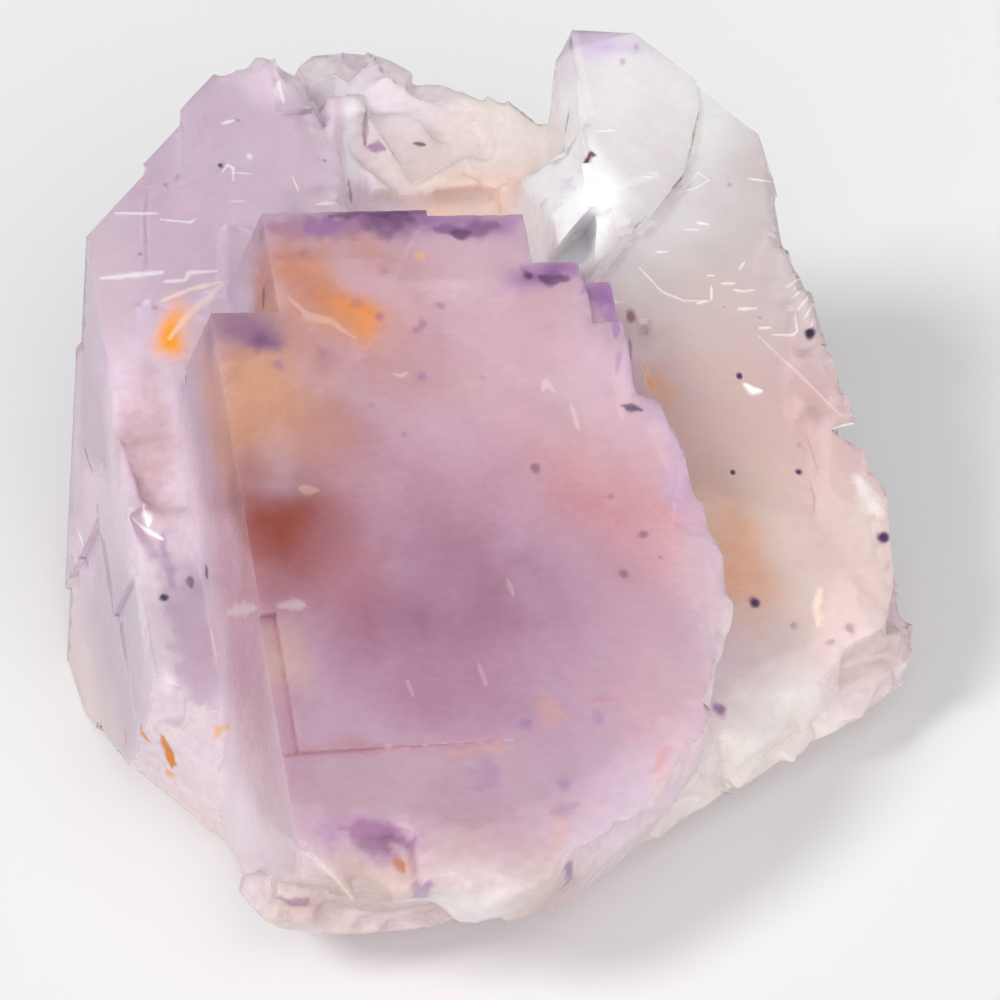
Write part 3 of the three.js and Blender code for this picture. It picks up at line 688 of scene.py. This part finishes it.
@dataclass(frozen=True)
class FluoriteFinish:
    """Fluorite, clear to faintly milky, as grown and as cleaved.

    Grown cube faces are smooth and gleam. Fresh cleavage is as smooth, with fine steps. Broken rims are
    frosted by countless tiny chips, which scatter the light and look cream white.

    Attributes:
        body: Colour of the stone between the colour zones.
        frost: Colour of the finely chipped rims.
        foot: Colour near the surface that the stone lies on.
        foot_mm: How high that colour reaches.
        foot_share: Its share at the bottom.
        absorption: Colour that the light takes on its way through the stone.
        absorption_density: How fast it takes it.
        ior: Index of refraction of fluorite.
        milky_clear: Share of the light that goes through the deep coloured crystal.
        pale_clear: The same for the palest crystal. The rest is scattered by the milkiness.
        clear_green: Green of the deep coloured and of the palest crystal.
        worn_milk: How much of the clearness is lost where rims are worn.
        milkiness: Share of the scattered light that gets into the stone.
        milk_radius_mm: How far scattered red, green and blue light gets.
        veil_scale: How many faint veils there are to a millimetre.
        veil_tint: How much the veils change red, green and blue.
        grain_per_mm: How many grains of the fine pattern there are to a millimetre along u, v and w.
        grain_detail: How many finer layers the pattern has.
        grain_fade: How strong each layer is beside the one before.
        mottle_grain: The span of the grain that the faint mottling follows.
        mottle: The colour's gain at the two ends of that span.
        frost_grain: The span of the grain that the frost follows.
        frost_share: Share of the frost at the two ends of that span.
        grown_roughness: Roughness of the grown faces.
        broken_roughness: Roughness of the frosted rims.
        bump: Strength of the grain's relief.
        bump_mm: Height of the grain's relief.
    """

    body: str = "#D0BACD"
    frost: str = "#EDE3DE"
    foot: str = "#DDCBBD"
    foot_mm: float = 9.0
    foot_share: float = 0.65
    absorption: str = "#F0D4C4"
    absorption_density: float = 5.0
    ior: float = 1.434
    milky_clear: float = 0.35
    pale_clear: float = 0.8
    clear_green: Span = (0.35, 0.95)
    worn_milk: float = 0.5
    milkiness: float = 0.3
    milk_radius_mm: Point = (3.5, 2.8, 3.2)
    veil_scale: float = 0.16
    veil_tint: Point = (0.1, 0.16, 0.13)
    grain_per_mm: Point = (1.0, 1.4, 1.3)
    grain_detail: float = 2.0
    grain_fade: float = 0.62
    mottle_grain: Span = (0.3, 0.7)
    mottle: Span = (0.95, 1.05)
    frost_grain: Span = (0.35, 0.65)
    frost_share: Span = (0.35, 0.85)
    grown_roughness: float = 0.16
    broken_roughness: float = 0.4
    bump: float = 0.35
    bump_mm: float = 0.1

    def tint(
        self, places: np.ndarray, heights: np.ndarray, wavers: np.ndarray, marks: Sequence[Mark]
    ) -> np.ndarray:
        """The stone's colour at lattice points.

        Args:
            places: Lattice points in mm.
            heights: Their heights over the table in mm.
            wavers: How far the edges of the colour zones waver at each point, in mm.
            marks: The small marks, laid over the zones.

        Returns:
            One linear colour for each point, with the clearness of the crystal there as its alpha.
        """
        colours = np.tile(np.array(as_seen(self.body)), (len(places), 1))
        clear = 1.0 - self.worn_milk * _worn(places)
        for zone in COLOUR_ZONES:
            share = zone.share(places + wavers)
            colours += (np.array(as_seen(zone.colour)) - colours) * share[:, None]
            clear *= 1.0 - zone.milk * share
        low = self.foot_share * smooth_step(1.0 - heights / self.foot_mm)[:, None]
        colours += (np.array(as_seen(self.foot)) - colours) * low
        colours[:, 3] = clear
        veils = np.array(
            [
                noise.fractal(Vector(place) * self.veil_scale, VEIL_FADE, VEIL_STEP, VEIL_LAYERS)
                for place in places
            ]
        )
        colours[:, :3] *= 1.0 + np.array(self.veil_tint) * veils[:, None]
        chance = _uneven(places)
        for mark in marks:
            share = mark.strength * mark.share(places, chance)[:, None]
            inclusion = np.array((*linear(mark.tone.value)[:3], 0.0))
            colours = colours * (1.0 - share) + inclusion * share
        return np.clip(colours, 0.0, 1.0)

    def material(self, lattice: Lattice) -> bpy.types.Material:
        """Makes the stone's material, with its fine pattern fixed to the lattice.

        Args:
            lattice: The lattice that the fine pattern follows.

        Returns:
            The material.
        """
        made = bpy.data.materials.new("fluorite_clear_pale_violet")
        made.use_nodes = True
        tree = made.node_tree
        tree.nodes.clear()
        place = self._lattice_place(tree, lattice)
        frost = add_node(tree, "ShaderNodeAttribute", {"attribute_name": "frost"}).outputs["Fac"]
        tint = add_node(tree, "ShaderNodeAttribute", {"attribute_name": "tint"})
        streaks = add_node(tree, "ShaderNodeVectorMath", PRODUCT, i0=place, i1=self.grain_per_mm)
        grain = add_node(
            tree,
            "ShaderNodeTexNoise",
            i0=streaks.outputs[0],
            Scale=1.0,
            Detail=self.grain_detail,
            Roughness=self.grain_fade,
        ).outputs[0]
        frosted = add_node(tree, "ShaderNodeMath", PRODUCT, i0=frost, i1=tint.outputs["Alpha"])
        colour = self._frosted_colour(tree, grain, frosted.outputs[0], tint.outputs["Color"])
        roughness = add_node(
            tree, "ShaderNodeMapRange", i0=frost, i3=self.grown_roughness, i4=self.broken_roughness
        ).outputs[0]
        green = add_node(tree, "ShaderNodeSeparateColor", Color=colour).outputs[1]
        entering = add_node(
            tree,
            "ShaderNodeMapRange",
            i0=green,
            **span_inputs(self.clear_green, (self.milky_clear, self.pale_clear)),
        ).outputs[0]
        entering = add_node(tree, "ShaderNodeMath", PRODUCT, i0=entering, i1=tint.outputs["Alpha"])
        leaving = add_node(tree, "ShaderNodeNewGeometry").outputs["Backfacing"]
        clear = add_node(
            tree, "ShaderNodeMath", {"operation": "MAXIMUM"}, i0=entering.outputs[0], i1=leaving
        )
        bump = add_node(
            tree, "ShaderNodeBump", Strength=self.bump, Distance=self.bump_mm * MM, Height=grain
        )
        shader = add_node(
            tree,
            "ShaderNodeBsdfPrincipled",
            {"subsurface_method": "RANDOM_WALK"},
            Base_Color=colour,
            Roughness=roughness,
            IOR=self.ior,
            Transmission_Weight=clear.outputs[0],
            Subsurface_Weight=self.milkiness,
            Subsurface_Radius=tuple(r * MM for r in self.milk_radius_mm),
            Subsurface_Scale=1.0,
            Normal=bump.outputs[0],
        )
        volume = add_node(
            tree,
            "ShaderNodeVolumeAbsorption",
            Color=linear(self.absorption),
            Density=self.absorption_density,
        )
        add_node(tree, "ShaderNodeOutputMaterial", Surface=shader.outputs[0], Volume=volume.outputs[0])
        return made

    def _lattice_place(self, tree: bpy.types.NodeTree, lattice: Lattice) -> bpy.types.NodeSocket:
        """Adds the nodes that give each point of the surface in lattice mm."""
        coordinates = add_node(tree, "ShaderNodeTexCoord")
        return add_node(
            tree,
            "ShaderNodeMapping",
            {"vector_type": "TEXTURE"},
            Vector=coordinates.outputs["Object"],
            Location=[value * MM for value in lattice.corner_mm],
            Rotation=lattice.turn().to_euler("XYZ"),
            Scale=(MM, MM, MM),
        ).outputs[0]

    def _frosted_colour(
        self,
        tree: bpy.types.NodeTree,
        grain: bpy.types.NodeSocket,
        frost: bpy.types.NodeSocket,
        colour: bpy.types.NodeSocket,
    ) -> bpy.types.NodeSocket:
        """Adds faint mottling all over, and the cream white frost of the broken rims."""
        mottle = add_node(
            tree, "ShaderNodeMapRange", i0=grain, **span_inputs(self.mottle_grain, self.mottle)
        )
        mottled = add_node(
            tree, "ShaderNodeVectorMath", {"operation": "SCALE"}, i0=colour, Scale=mottle.outputs[0]
        ).outputs[0]
        share = add_node(
            tree, "ShaderNodeMapRange", i0=grain, **span_inputs(self.frost_grain, self.frost_share)
        )
        amount = add_node(tree, "ShaderNodeMath", PRODUCT, i0=share.outputs[0], i1=frost)
        return add_node(
            tree,
            "ShaderNodeMix",
            {"data_type": "RGBA"},
            i0=amount.outputs[0],
            i6=mottled,
            i7=as_seen(self.frost),
        ).outputs[2]


@dataclass
class CrystalGroup:
    """The crystals grown together, as one finely faceted closed mesh.

    Attributes:
        lattice: The lattice of the crystals.
        finish: The finish of the stone.
        name: The object's name.
        weld_m: How near the solid's split corners lie to be joined again.
        level_deg: Faces that bend less than this are joined.
        grid_mm: Spacing of the mesh on the flat faces.
        grid_shift: How far each cut is set back, as a share of the spacing.
        cut_mm: How near a corner may lie to a cut and be used by it.
        refine_rounds: How often long edges are halved.
        chip_grid_mm: Longest mesh edge on broken surfaces.
        lip_grid_mm: Longest mesh edge on worn ground and along the edges between flat faces.
        mark_near_mm: How far around a mark's middle the mesh is made finer for it.
        mark_core: Share of a mark's width within which the mesh is finest.
        mark_grid: Longest mesh edge there, as a share of the width.
        mark_grid_mm: The least length that this gives.
        mark_grid_rise: How fast that length grows with the distance.
        chips: Width and depth in mm of the larger and the smaller scoops of a broken surface.
        lump: Height in mm and number to a millimetre of the lumps of worn ground.
        shell: The same of the waves of a curved break.
        nick: The same of the small nicks along the edges.
        wave: The same of the faint waves of a grown face.
        nick_bias: Lifts the nicks, so that more than half of each edge has them.
        rest_mm: Nothing is shaped below this height over the resting surface.
        wear_rounds: How often worn ground is smoothed.
        wear_pull: How far each round moves it.
        worn_start: How worn ground is that gets the finer mesh.
        worn_frost: Frost of fully worn ground.
        worn_smooth: How worn ground is whose mesh edges are shaded smooth.
        sharp_deg: Mesh edges that bend more than this are shaded sharp.
        waver_mm: How far the edges of the colour zones waver.
        flat_cosine: Least cosine between a flat face and the direction that makes it one.
        shell_cosine: Least cosine between a curved break and the cube face that it follows.
        shell_side: Direction of the one curved break that follows no cube face.
        shell_side_cosine: Least cosine between a face and that direction.
    """

    lattice: Lattice = field(default_factory=Lattice)
    finish: FluoriteFinish = field(default_factory=FluoriteFinish)
    name: str = "fluorite_crystal_group"
    weld_m: float = 1.5e-5
    level_deg: float = 0.05
    grid_mm: float = 1.3
    grid_shift: float = 0.37
    cut_mm: float = 1e-4
    refine_rounds: int = 5
    chip_grid_mm: float = 0.5
    lip_grid_mm: float = 0.8
    mark_near_mm: float = 9.0
    mark_core: float = 0.7
    mark_grid: float = 0.3
    mark_grid_mm: float = 0.12
    mark_grid_rise: float = 0.6
    chips: tuple[Span, ...] = ((2.4, 0.28), (0.9, 0.06))
    lump: Span = (0.3, 0.4)
    shell: Span = (0.1, 0.35)
    nick: Span = (0.12, 0.9)
    wave: Span = (0.03, 0.3)
    nick_bias: float = 0.1
    rest_mm: float = 0.02
    wear_rounds: int = 26
    wear_pull: float = 0.6
    worn_start: float = 0.15
    worn_frost: float = 0.45
    worn_smooth: float = 0.25
    sharp_deg: float = 22.0
    waver_mm: float = 1.6
    flat_cosine: float = 0.999
    shell_cosine: float = 0.96
    shell_side: Point = (-0.98, -0.19, -0.13)
    shell_side_cosine: float = 0.995

    def build(self) -> bpy.types.Object:
        """Builds the stone, dresses it and sets it in the place of its solid.

        Returns:
            The finished piece.
        """
        marks = [
            *left_face_marks(),
            *left_side_marks(),
            *main_face_marks(),
            *right_face_marks(),
            *saddle_marks(),
        ]
        mesh = self._solid_in_lattice()
        self._cut_grid(mesh)
        kinds = self._mark_kinds(mesh)
        for _ in range(self.refine_rounds):
            self._refine(mesh, kinds, marks)
        places = np.array([v.co for v in mesh.verts])
        self._shape(mesh, kinds, marks)
        piece = self._as_object(mesh, kinds, places, marks)
        mesh.free()
        piece.data.materials.append(self.finish.material(self.lattice))
        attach(piece, "root")
        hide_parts(CAD_NODE)
        return piece

    def _solid_in_lattice(self) -> BMesh:
        """Copies the CAD solid into a mesh in lattice mm, with its split corners joined again."""
        mesh = bmesh.new()
        mesh.from_mesh(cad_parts[CAD_NODE].data)
        bmesh.ops.remove_doubles(mesh, verts=mesh.verts, dist=self.weld_m)
        places = self.lattice.from_part(np.array([v.co for v in mesh.verts]))
        for corner, place in zip(mesh.verts, places):
            corner.co = place
        bmesh.ops.dissolve_limit(
            mesh,
            angle_limit=math.radians(self.level_deg),
            verts=mesh.verts,
            edges=mesh.edges,
            delimit=set(),
        )
        mesh.normal_update()
        return mesh

    def _cut_grid(self, mesh: BMesh) -> None:
        """Cuts all faces by evenly spaced lattice planes, so that they can be shaped."""
        places = np.array([v.co for v in mesh.verts])
        low, high = places.min(0), places.max(0)
        for axis in range(3):
            normal = Vector([float(axis == i) for i in range(3)])
            count = int((high[axis] - low[axis]) / self.grid_mm)
            for step in range(1, count + 1):
                level = low[axis] + step * self.grid_mm - self.grid_shift * self.grid_mm
                faces = [f for f in mesh.faces if _crosses(f, axis, level)]
                edges = dict.fromkeys(e for f in faces for e in f.edges)
                corners = dict.fromkeys(v for f in faces for v in f.verts)
                bmesh.ops.bisect_plane(
                    mesh,
                    geom=[*faces, *edges, *corners],
                    dist=self.cut_mm,
                    plane_co=normal * level,
                    plane_no=normal,
                )

    def _mark_kinds(self, mesh: BMesh) -> BMLayerItem:
        """Marks each face with its kind of surface, by its direction in the lattice.

        Args:
            mesh: The mesh in lattice mm.

        Returns:
            The face layer that holds the kinds' values.
        """
        layer = mesh.faces.layers.int.new("kind")
        up = Vector(self.lattice.turn()[2])
        side = Vector(self.shell_side)
        diagonal = 1 / math.sqrt(3)
        for face in mesh.faces:
            normal = face.normal
            along = [abs(value) for value in normal]
            if normal.dot(up) < -self.flat_cosine:
                kind = SurfaceKind.BASE
            elif max(along) > self.flat_cosine:
                kind = SurfaceKind.GROWTH
            elif sum(along) * diagonal > self.flat_cosine:
                kind = SurfaceKind.CLEAVAGE
            elif max(along) > self.shell_cosine or normal.dot(side) > self.shell_side_cosine:
                kind = SurfaceKind.SHELL
            else:
                kind = SurfaceKind.BROKEN
            face[layer] = kind
        return layer

    def _refine(self, mesh: BMesh, kinds: BMLayerItem, marks: Sequence[Mark]) -> None:
        """Splits the edges that are too long for what is shaped or marked there.

        Args:
            mesh: The mesh in lattice mm.
            kinds: The face layer with the kinds of surface.
            marks: The small marks, which need edges much shorter than their width.
        """
        edges = list(mesh.edges)
        ends = np.array([[v.co[:] for v in e.verts] for e in edges])
        lengths = np.linalg.norm(ends[:, 0] - ends[:, 1], axis=1)
        middles = ends.mean(axis=1)
        longest = np.where(_worn(middles) > self.worn_start, self.lip_grid_mm, np.inf)
        for i, edge in enumerate(edges):
            around = {f[kinds] for f in edge.link_faces}
            if SurfaceKind.BROKEN in around:
                longest[i] = self.chip_grid_mm
            elif SurfaceKind.BASE not in around and edge.calc_face_angle(0.0) > LIP_ANGLE:
                longest[i] = min(longest[i], self.lip_grid_mm)
        for mark in marks:
            near = np.abs(middles - np.mean(mark.path, axis=0)).max(axis=1) < self.mark_near_mm
            apart = np.maximum(mark.distance(middles[near])[0] - self.mark_core * mark.width, 0.0)
            finest = max(self.mark_grid * mark.width, self.mark_grid_mm)
            longest[near] = np.minimum(longest[near], finest + self.mark_grid_rise * apart)
        long = [edge for edge, length, limit in zip(edges, lengths, longest) if length > limit]
        touched = {f for e in long for f in e.link_faces if len(f.verts) > 3}
        bmesh.ops.subdivide_edges(mesh, edges=long, cuts=1, use_grid_fill=False)
        wide = [f for f in mesh.faces if len(f.verts) > 4 or f in touched]
        bmesh.ops.triangulate(mesh, faces=wide)
        mesh.normal_update()

    def _shape(self, mesh: BMesh, kinds: BMLayerItem, marks: Sequence[Mark]) -> None:
        """Scoops the broken surfaces, raises the marks and gives the flat faces their faint relief.

        A point on the edge of a flat face moves only within that face, so flat faces stay flat.

        Args:
            mesh: The mesh in lattice mm.
            kinds: The face layer with the kinds of surface.
            marks: The small marks.
        """
        places = np.array([v.co for v in mesh.verts])
        raised = np.zeros(len(places))
        chance = _uneven(places)
        for mark in marks:
            if mark.height:
                raised += mark.height * mark.share(places, chance)
        inside = self.lattice.height(places) > self.rest_mm
        soft = _worn(places)
        moves = []
        for corner, free, height, worn in zip(mesh.verts, inside, raised, soft):
            around = {f[kinds] for f in corner.link_faces}
            lip = _is_lip(corner)
            move = self._relief(corner, around, worn, lip)
            for face in corner.link_faces:
                if face[kinds] in FLAT_KINDS and len(around) > 1:
                    move -= face.normal * move.dot(face.normal)
            if not lip:
                move += corner.normal * height
            moves.append(move if free else Vector((0.0, 0.0, 0.0)))
        for corner, move in zip(mesh.verts, moves):
            corner.co += move
        self._wear(mesh, kinds, soft)

    def _relief(self, corner: BMVert, around: set[int], worn: float, lip: bool) -> Vector:
        """How the relief of its kind of surface moves a corner.

        Args:
            corner: The corner.
            around: The kinds of surface that meet there.
            worn: How worn the corner is, 0 to 1.
            lip: Whether it lies on an edge between flat faces.

        Returns:
            The move in mm, into the stone.
        """
        if SurfaceKind.BROKEN in around:
            depth = sum(deep * _scoop_depth(corner.co, width) for width, deep in self.chips)
            lumps = self.lump[0] * _ripple(corner.co, self.lump[1])
            return -(corner.normal * (depth * (1.0 - worn) + lumps * worn))
        if SurfaceKind.SHELL in around:
            return -(corner.normal * self.shell[0] * _ripple(corner.co, self.shell[1]))
        if lip:
            nick = max(0.0, noise.noise(corner.co * self.nick[1]) + self.nick_bias)
            return -(corner.normal * self.nick[0] * nick)
        return -(corner.normal * self.wave[0] * _ripple(corner.co, self.wave[1]))

    def _wear(self, mesh: BMesh, kinds: BMLayerItem, soft: np.ndarray) -> None:
        """Rounds the worn parts of the rims, and leaves the resting surface flat.

        Args:
            mesh: The mesh in lattice mm.
            kinds: The face layer with the kinds of surface.
            soft: How worn each corner is, 0 to 1.
        """
        mesh.verts.index_update()
        ends = np.array([[v.index for v in e.verts] for e in mesh.edges])
        count = np.bincount(ends.ravel(), minlength=len(soft))[:, None]
        places = np.array([v.co for v in mesh.verts])
        resting = np.array(
            [any(f[kinds] == SurfaceKind.BASE for f in v.link_faces) for v in mesh.verts]
        )
        share = self.wear_pull * np.where(resting, 0.0, soft)[:, None]
        for _ in range(self.wear_rounds):
            total = np.zeros_like(places)
            np.add.at(total, ends[:, 0], places[ends[:, 1]])
            np.add.at(total, ends[:, 1], places[ends[:, 0]])
            places += share * (total / count - places)
        for corner, place in zip(mesh.verts, places):
            corner.co = place

    def _as_object(
        self, mesh: BMesh, kinds: BMLayerItem, places: np.ndarray, marks: Sequence[Mark]
    ) -> bpy.types.Object:
        """Turns the mesh into an object in the part's frame, with its colour and frost.

        Args:
            mesh: The shaped mesh in lattice mm.
            kinds: The face layer with the kinds of surface.
            places: Where its corners were before they were shaped.
            marks: The small marks.

        Returns:
            The object, linked to the scene.
        """
        soft = _worn(places)
        frost_layer = mesh.loops.layers.float.new("frost")
        mesh.verts.index_update()
        for face in mesh.faces:
            face.smooth = True
            for loop in face.loops:
                own = FROST_OF_KIND[face[kinds]]
                loop[frost_layer] = own + (self.worn_frost - own) * soft[loop.vert.index]
        shaped = self.lattice.to_part(np.array([v.co for v in mesh.verts]))
        low, high = (np.array(corner) for corner in CAD_BOX)
        for corner, place in zip(mesh.verts, np.clip(shaped, low, high)):
            corner.co = place
        data = bpy.data.meshes.new(self.name)
        mesh.to_mesh(data)
        data.set_sharp_from_angle(angle=math.radians(self.sharp_deg))
        ends = np.array([edge.vertices[:] for edge in data.edges])
        sharp = data.attributes["sharp_edge"].data
        for number in np.flatnonzero(soft[ends].min(axis=1) > self.worn_smooth):
            sharp[int(number)].value = False
        wavers = np.array([_waver(Vector(place)) for place in places])
        wavers -= wavers.mean(axis=0)
        tint = data.attributes.new("tint", "FLOAT_COLOR", "POINT")
        colours = self.finish.tint(places, self.lattice.height(places), self.waver_mm * wavers, marks)
        tint.data.foreach_set("color", colours.ravel().astype(np.float32))
        return add_object(self.name, data)


def _worn(places: np.ndarray) -> np.ndarray:
    """How worn the broken rims are at lattice points, 0 to 1."""
    return np.max([zone.share(places) for zone in WORN_PLACES], axis=0)


def _is_lip(corner: BMVert) -> bool:
    """Whether a corner lies on an edge between flat faces."""
    return any(edge.calc_face_angle(0.0) > LIP_ANGLE for edge in corner.link_edges)


def _ripple(point: Vector, per_mm: float) -> float:
    """An uneven value at a lattice point, about -0.5 to 1.5, that swings so many times to a millimetre."""
    return 0.5 + noise.noise(point * per_mm)


def _uneven(places: np.ndarray) -> np.ndarray:
    """An uneven value for each lattice point, about -1 to 1, that varies over about a millimetre."""
    return np.array([noise.noise(Vector(place) * UNEVEN_PER_MM) for place in places])


def _waver(point: Vector) -> list[float]:
    """An uneven shift along each axis at a lattice point that varies over a few millimetres."""
    scaled = point * WAVER_PER_MM
    return [noise.turbulence(scaled + Vector(shift), WAVER_LAYERS, False) for shift in WAVER_SHIFTS]


def _crosses(face: BMFace, axis: int, level: float) -> bool:
    """Whether a face reaches over a lattice level."""
    values = [v.co[axis] for v in face.verts]
    return min(values) < level < max(values)


def _scoop_depth(point: Vector, width: float) -> float:
    """How deep a broken surface lies at a point, as shallow tilted scoops that meet in sharp ridges.

    Args:
        point: The point in lattice mm.
        width: The scoops' width in mm.

    Returns:
        A depth, about 0 to 1.2.
    """
    scaled = point / width
    deepest = 0.0
    for seed in noise.voronoi(scaled)[1]:
        away = scaled - seed
        tilt = noise.cell_vector(seed * SCOOP_TILT_SEED) - Vector((0.5, 0.5, 0.5))
        middle = SCOOP_LEAST + SCOOP_SPREAD * noise.cell(seed * SCOOP_DEPTH_SEED)
        deepest = max(deepest, middle + SCOOP_TILT * tilt.dot(away) - away.length_squared)
    return deepest


@dataclass
class PaleTable:
    """A large plain sheet of matt white paper that the stone lies on.

    Attributes:
        half_width: Half its width in metres.
        gap: How far it lies under the stone in metres, so that light gets between them.
        colour: Its sRGB colour.
        roughness: Its roughness.
    """

    half_width: float = 1.5
    gap: float = 0.00003
    colour: str = "#F2F2F3"
    roughness: float = 0.6

    def build(self) -> bpy.types.Object:
        """Builds the sheet and dresses it."""
        data = bpy.data.meshes.new("paper_sheet")
        half = self.half_width
        low = -self.gap
        corners = [(-half, -half, low), (half, -half, low), (half, half, low), (-half, half, low)]
        data.from_pydata(corners, [], [(0, 1, 2, 3)])
        made = bpy.data.materials.new("matt_white_paper")
        made.use_nodes = True
        shader = made.node_tree.nodes["Principled BSDF"]
        shader.inputs["Base Color"].default_value = linear(self.colour)
        shader.inputs["Roughness"].default_value = self.roughness
        data.materials.append(made)
        sheet = add_object("paper_sheet", data)
        return sheet


@dataclass(frozen=True)
class Lamp:
    """A broad far lamp that shows neither through the clear stone nor as a mirror image in it.

    Attributes:
        name: The lamp's name.
        strength: Its light on a surface that faces it.
        width_deg: How wide it looks from the stone.
        turn_deg: Where it stands, counted from the left towards the front.
        height_deg: How high it stands.
    """

    name: str
    strength: float
    width_deg: float
    turn_deg: float
    height_deg: float

    def build(self) -> None:
        """Adds the lamp to the scene."""
        light = bpy.data.lights.new(self.name, "SUN")
        light.energy = self.strength
        light.angle = math.radians(self.width_deg)
        turn, rise = math.radians(self.turn_deg), math.radians(self.height_deg)
        level = math.cos(rise)
        towards = Vector((-math.cos(turn) * level, -math.sin(turn) * level, math.sin(rise)))
        holder = add_object(self.name, light)
        holder.rotation_euler = towards.to_track_quat("Z", "Y").to_euler()
        holder.visible_transmission = False
        holder.visible_glossy = False


@dataclass
class StudioLight:
    """Soft light from all sides, a lamp on the left, and two very broad ones in front, high and low.

    Attributes:
        sky_strength: Light of the surroundings on matt surfaces.
        card_strength: Brightness of the white cards that show in the stone's reflections.
        glow_strength: Brightness of the white cards that show through the stone.
        bounces: How often light may bounce, in all and by kind.
        lamps: The lamps.
    """

    sky_strength: float = 0.25
    card_strength: float = 0.95
    glow_strength: float = 1.12
    bounces: tuple[tuple[str, int], ...] = (
        ("max", 8),
        ("diffuse", 2),
        ("glossy", 3),
        ("transmission", 7),
    )
    lamps: tuple[Lamp, ...] = (
        Lamp("left_lamp", 1.45, 18.0, 32.0, 48.0),
        Lamp("front_lamp", 1.3, 60.0, 112.0, 45.0),
        Lamp("low_front_lamp", 1.0, 60.0, 90.0, 18.0),
    )

    def build(self) -> None:
        """Sets the surrounding light and adds the lamps."""
        world = bpy.data.worlds.new("white_studio")
        world.use_nodes = True
        tree = world.node_tree
        rays = add_node(tree, "ShaderNodeLightPath").outputs
        strength = self.sky_strength
        for kind, brightness in (("Glossy", self.card_strength), ("Transmission", self.glow_strength)):
            strength = add_node(
                tree, "ShaderNodeMapRange", i0=rays[f"Is {kind} Ray"], i3=strength, i4=brightness
            ).outputs[0]
        sky = tree.nodes["Background"].inputs
        tree.links.new(strength, sky["Strength"])
        sky["Color"].default_value = linear("#FFFFFF")
        world.cycles.sampling_method = "NONE"
        bpy.context.scene.world = world
        paths = bpy.context.scene.cycles
        paths.caustics_reflective = False
        for kind, most in self.bounces:
            setattr(paths, f"{kind}_bounces", most)
        for lamp in self.lamps:
            lamp.build()


@dataclass
class ProductCamera:
    """A long lens that looks down on the stone from the front.

    Attributes:
        place_mm: Where it stands.
        height_deg: How far it looks down.
        lens_mm: Its focal length.
        sensor_mm: Width of its sensor.
        view_m: The nearest and the farthest that it sees.
    """

    place_mm: Point = (0.9704, -311.2600, 279.4111)
    height_deg: float = 40.0
    lens_mm: float = 201.6
    sensor_mm: float = 36.0
    view_m: Span = (0.01, 10.0)

    def build(self) -> None:
        """Adds the camera and makes it the scene's own."""
        data = bpy.data.cameras.new("front_camera")
        data.lens = self.lens_mm
        data.sensor_width = self.sensor_mm
        data.clip_start, data.clip_end = self.view_m
        camera = add_object("front_camera", data)
        camera.location = [value * MM for value in self.place_mm]
        camera.rotation_euler = (math.radians(90.0 - self.height_deg), 0.0, 0.0)
        bpy.context.scene.camera = camera


def main() -> None:
    """Builds the stone, the sheet, the light and the camera."""
    logging.basicConfig(level=logging.INFO, format="%(name)s: %(message)s", stream=sys.stdout)
    bpy.context.scene.view_settings.view_transform = "Standard"
    stone = CrystalGroup().build()
    log.info("%s: %d faces, %d corners", stone.name, len(stone.data.polygons), len(stone.data.vertices))
    sheet = PaleTable().build()
    log.info("%s: %.1f m wide", sheet.name, sheet.dimensions.x)
    StudioLight().build()
    log.info("studio light set")
    ProductCamera().build()
    log.info("camera set")


if __name__ == "__main__":
    main()
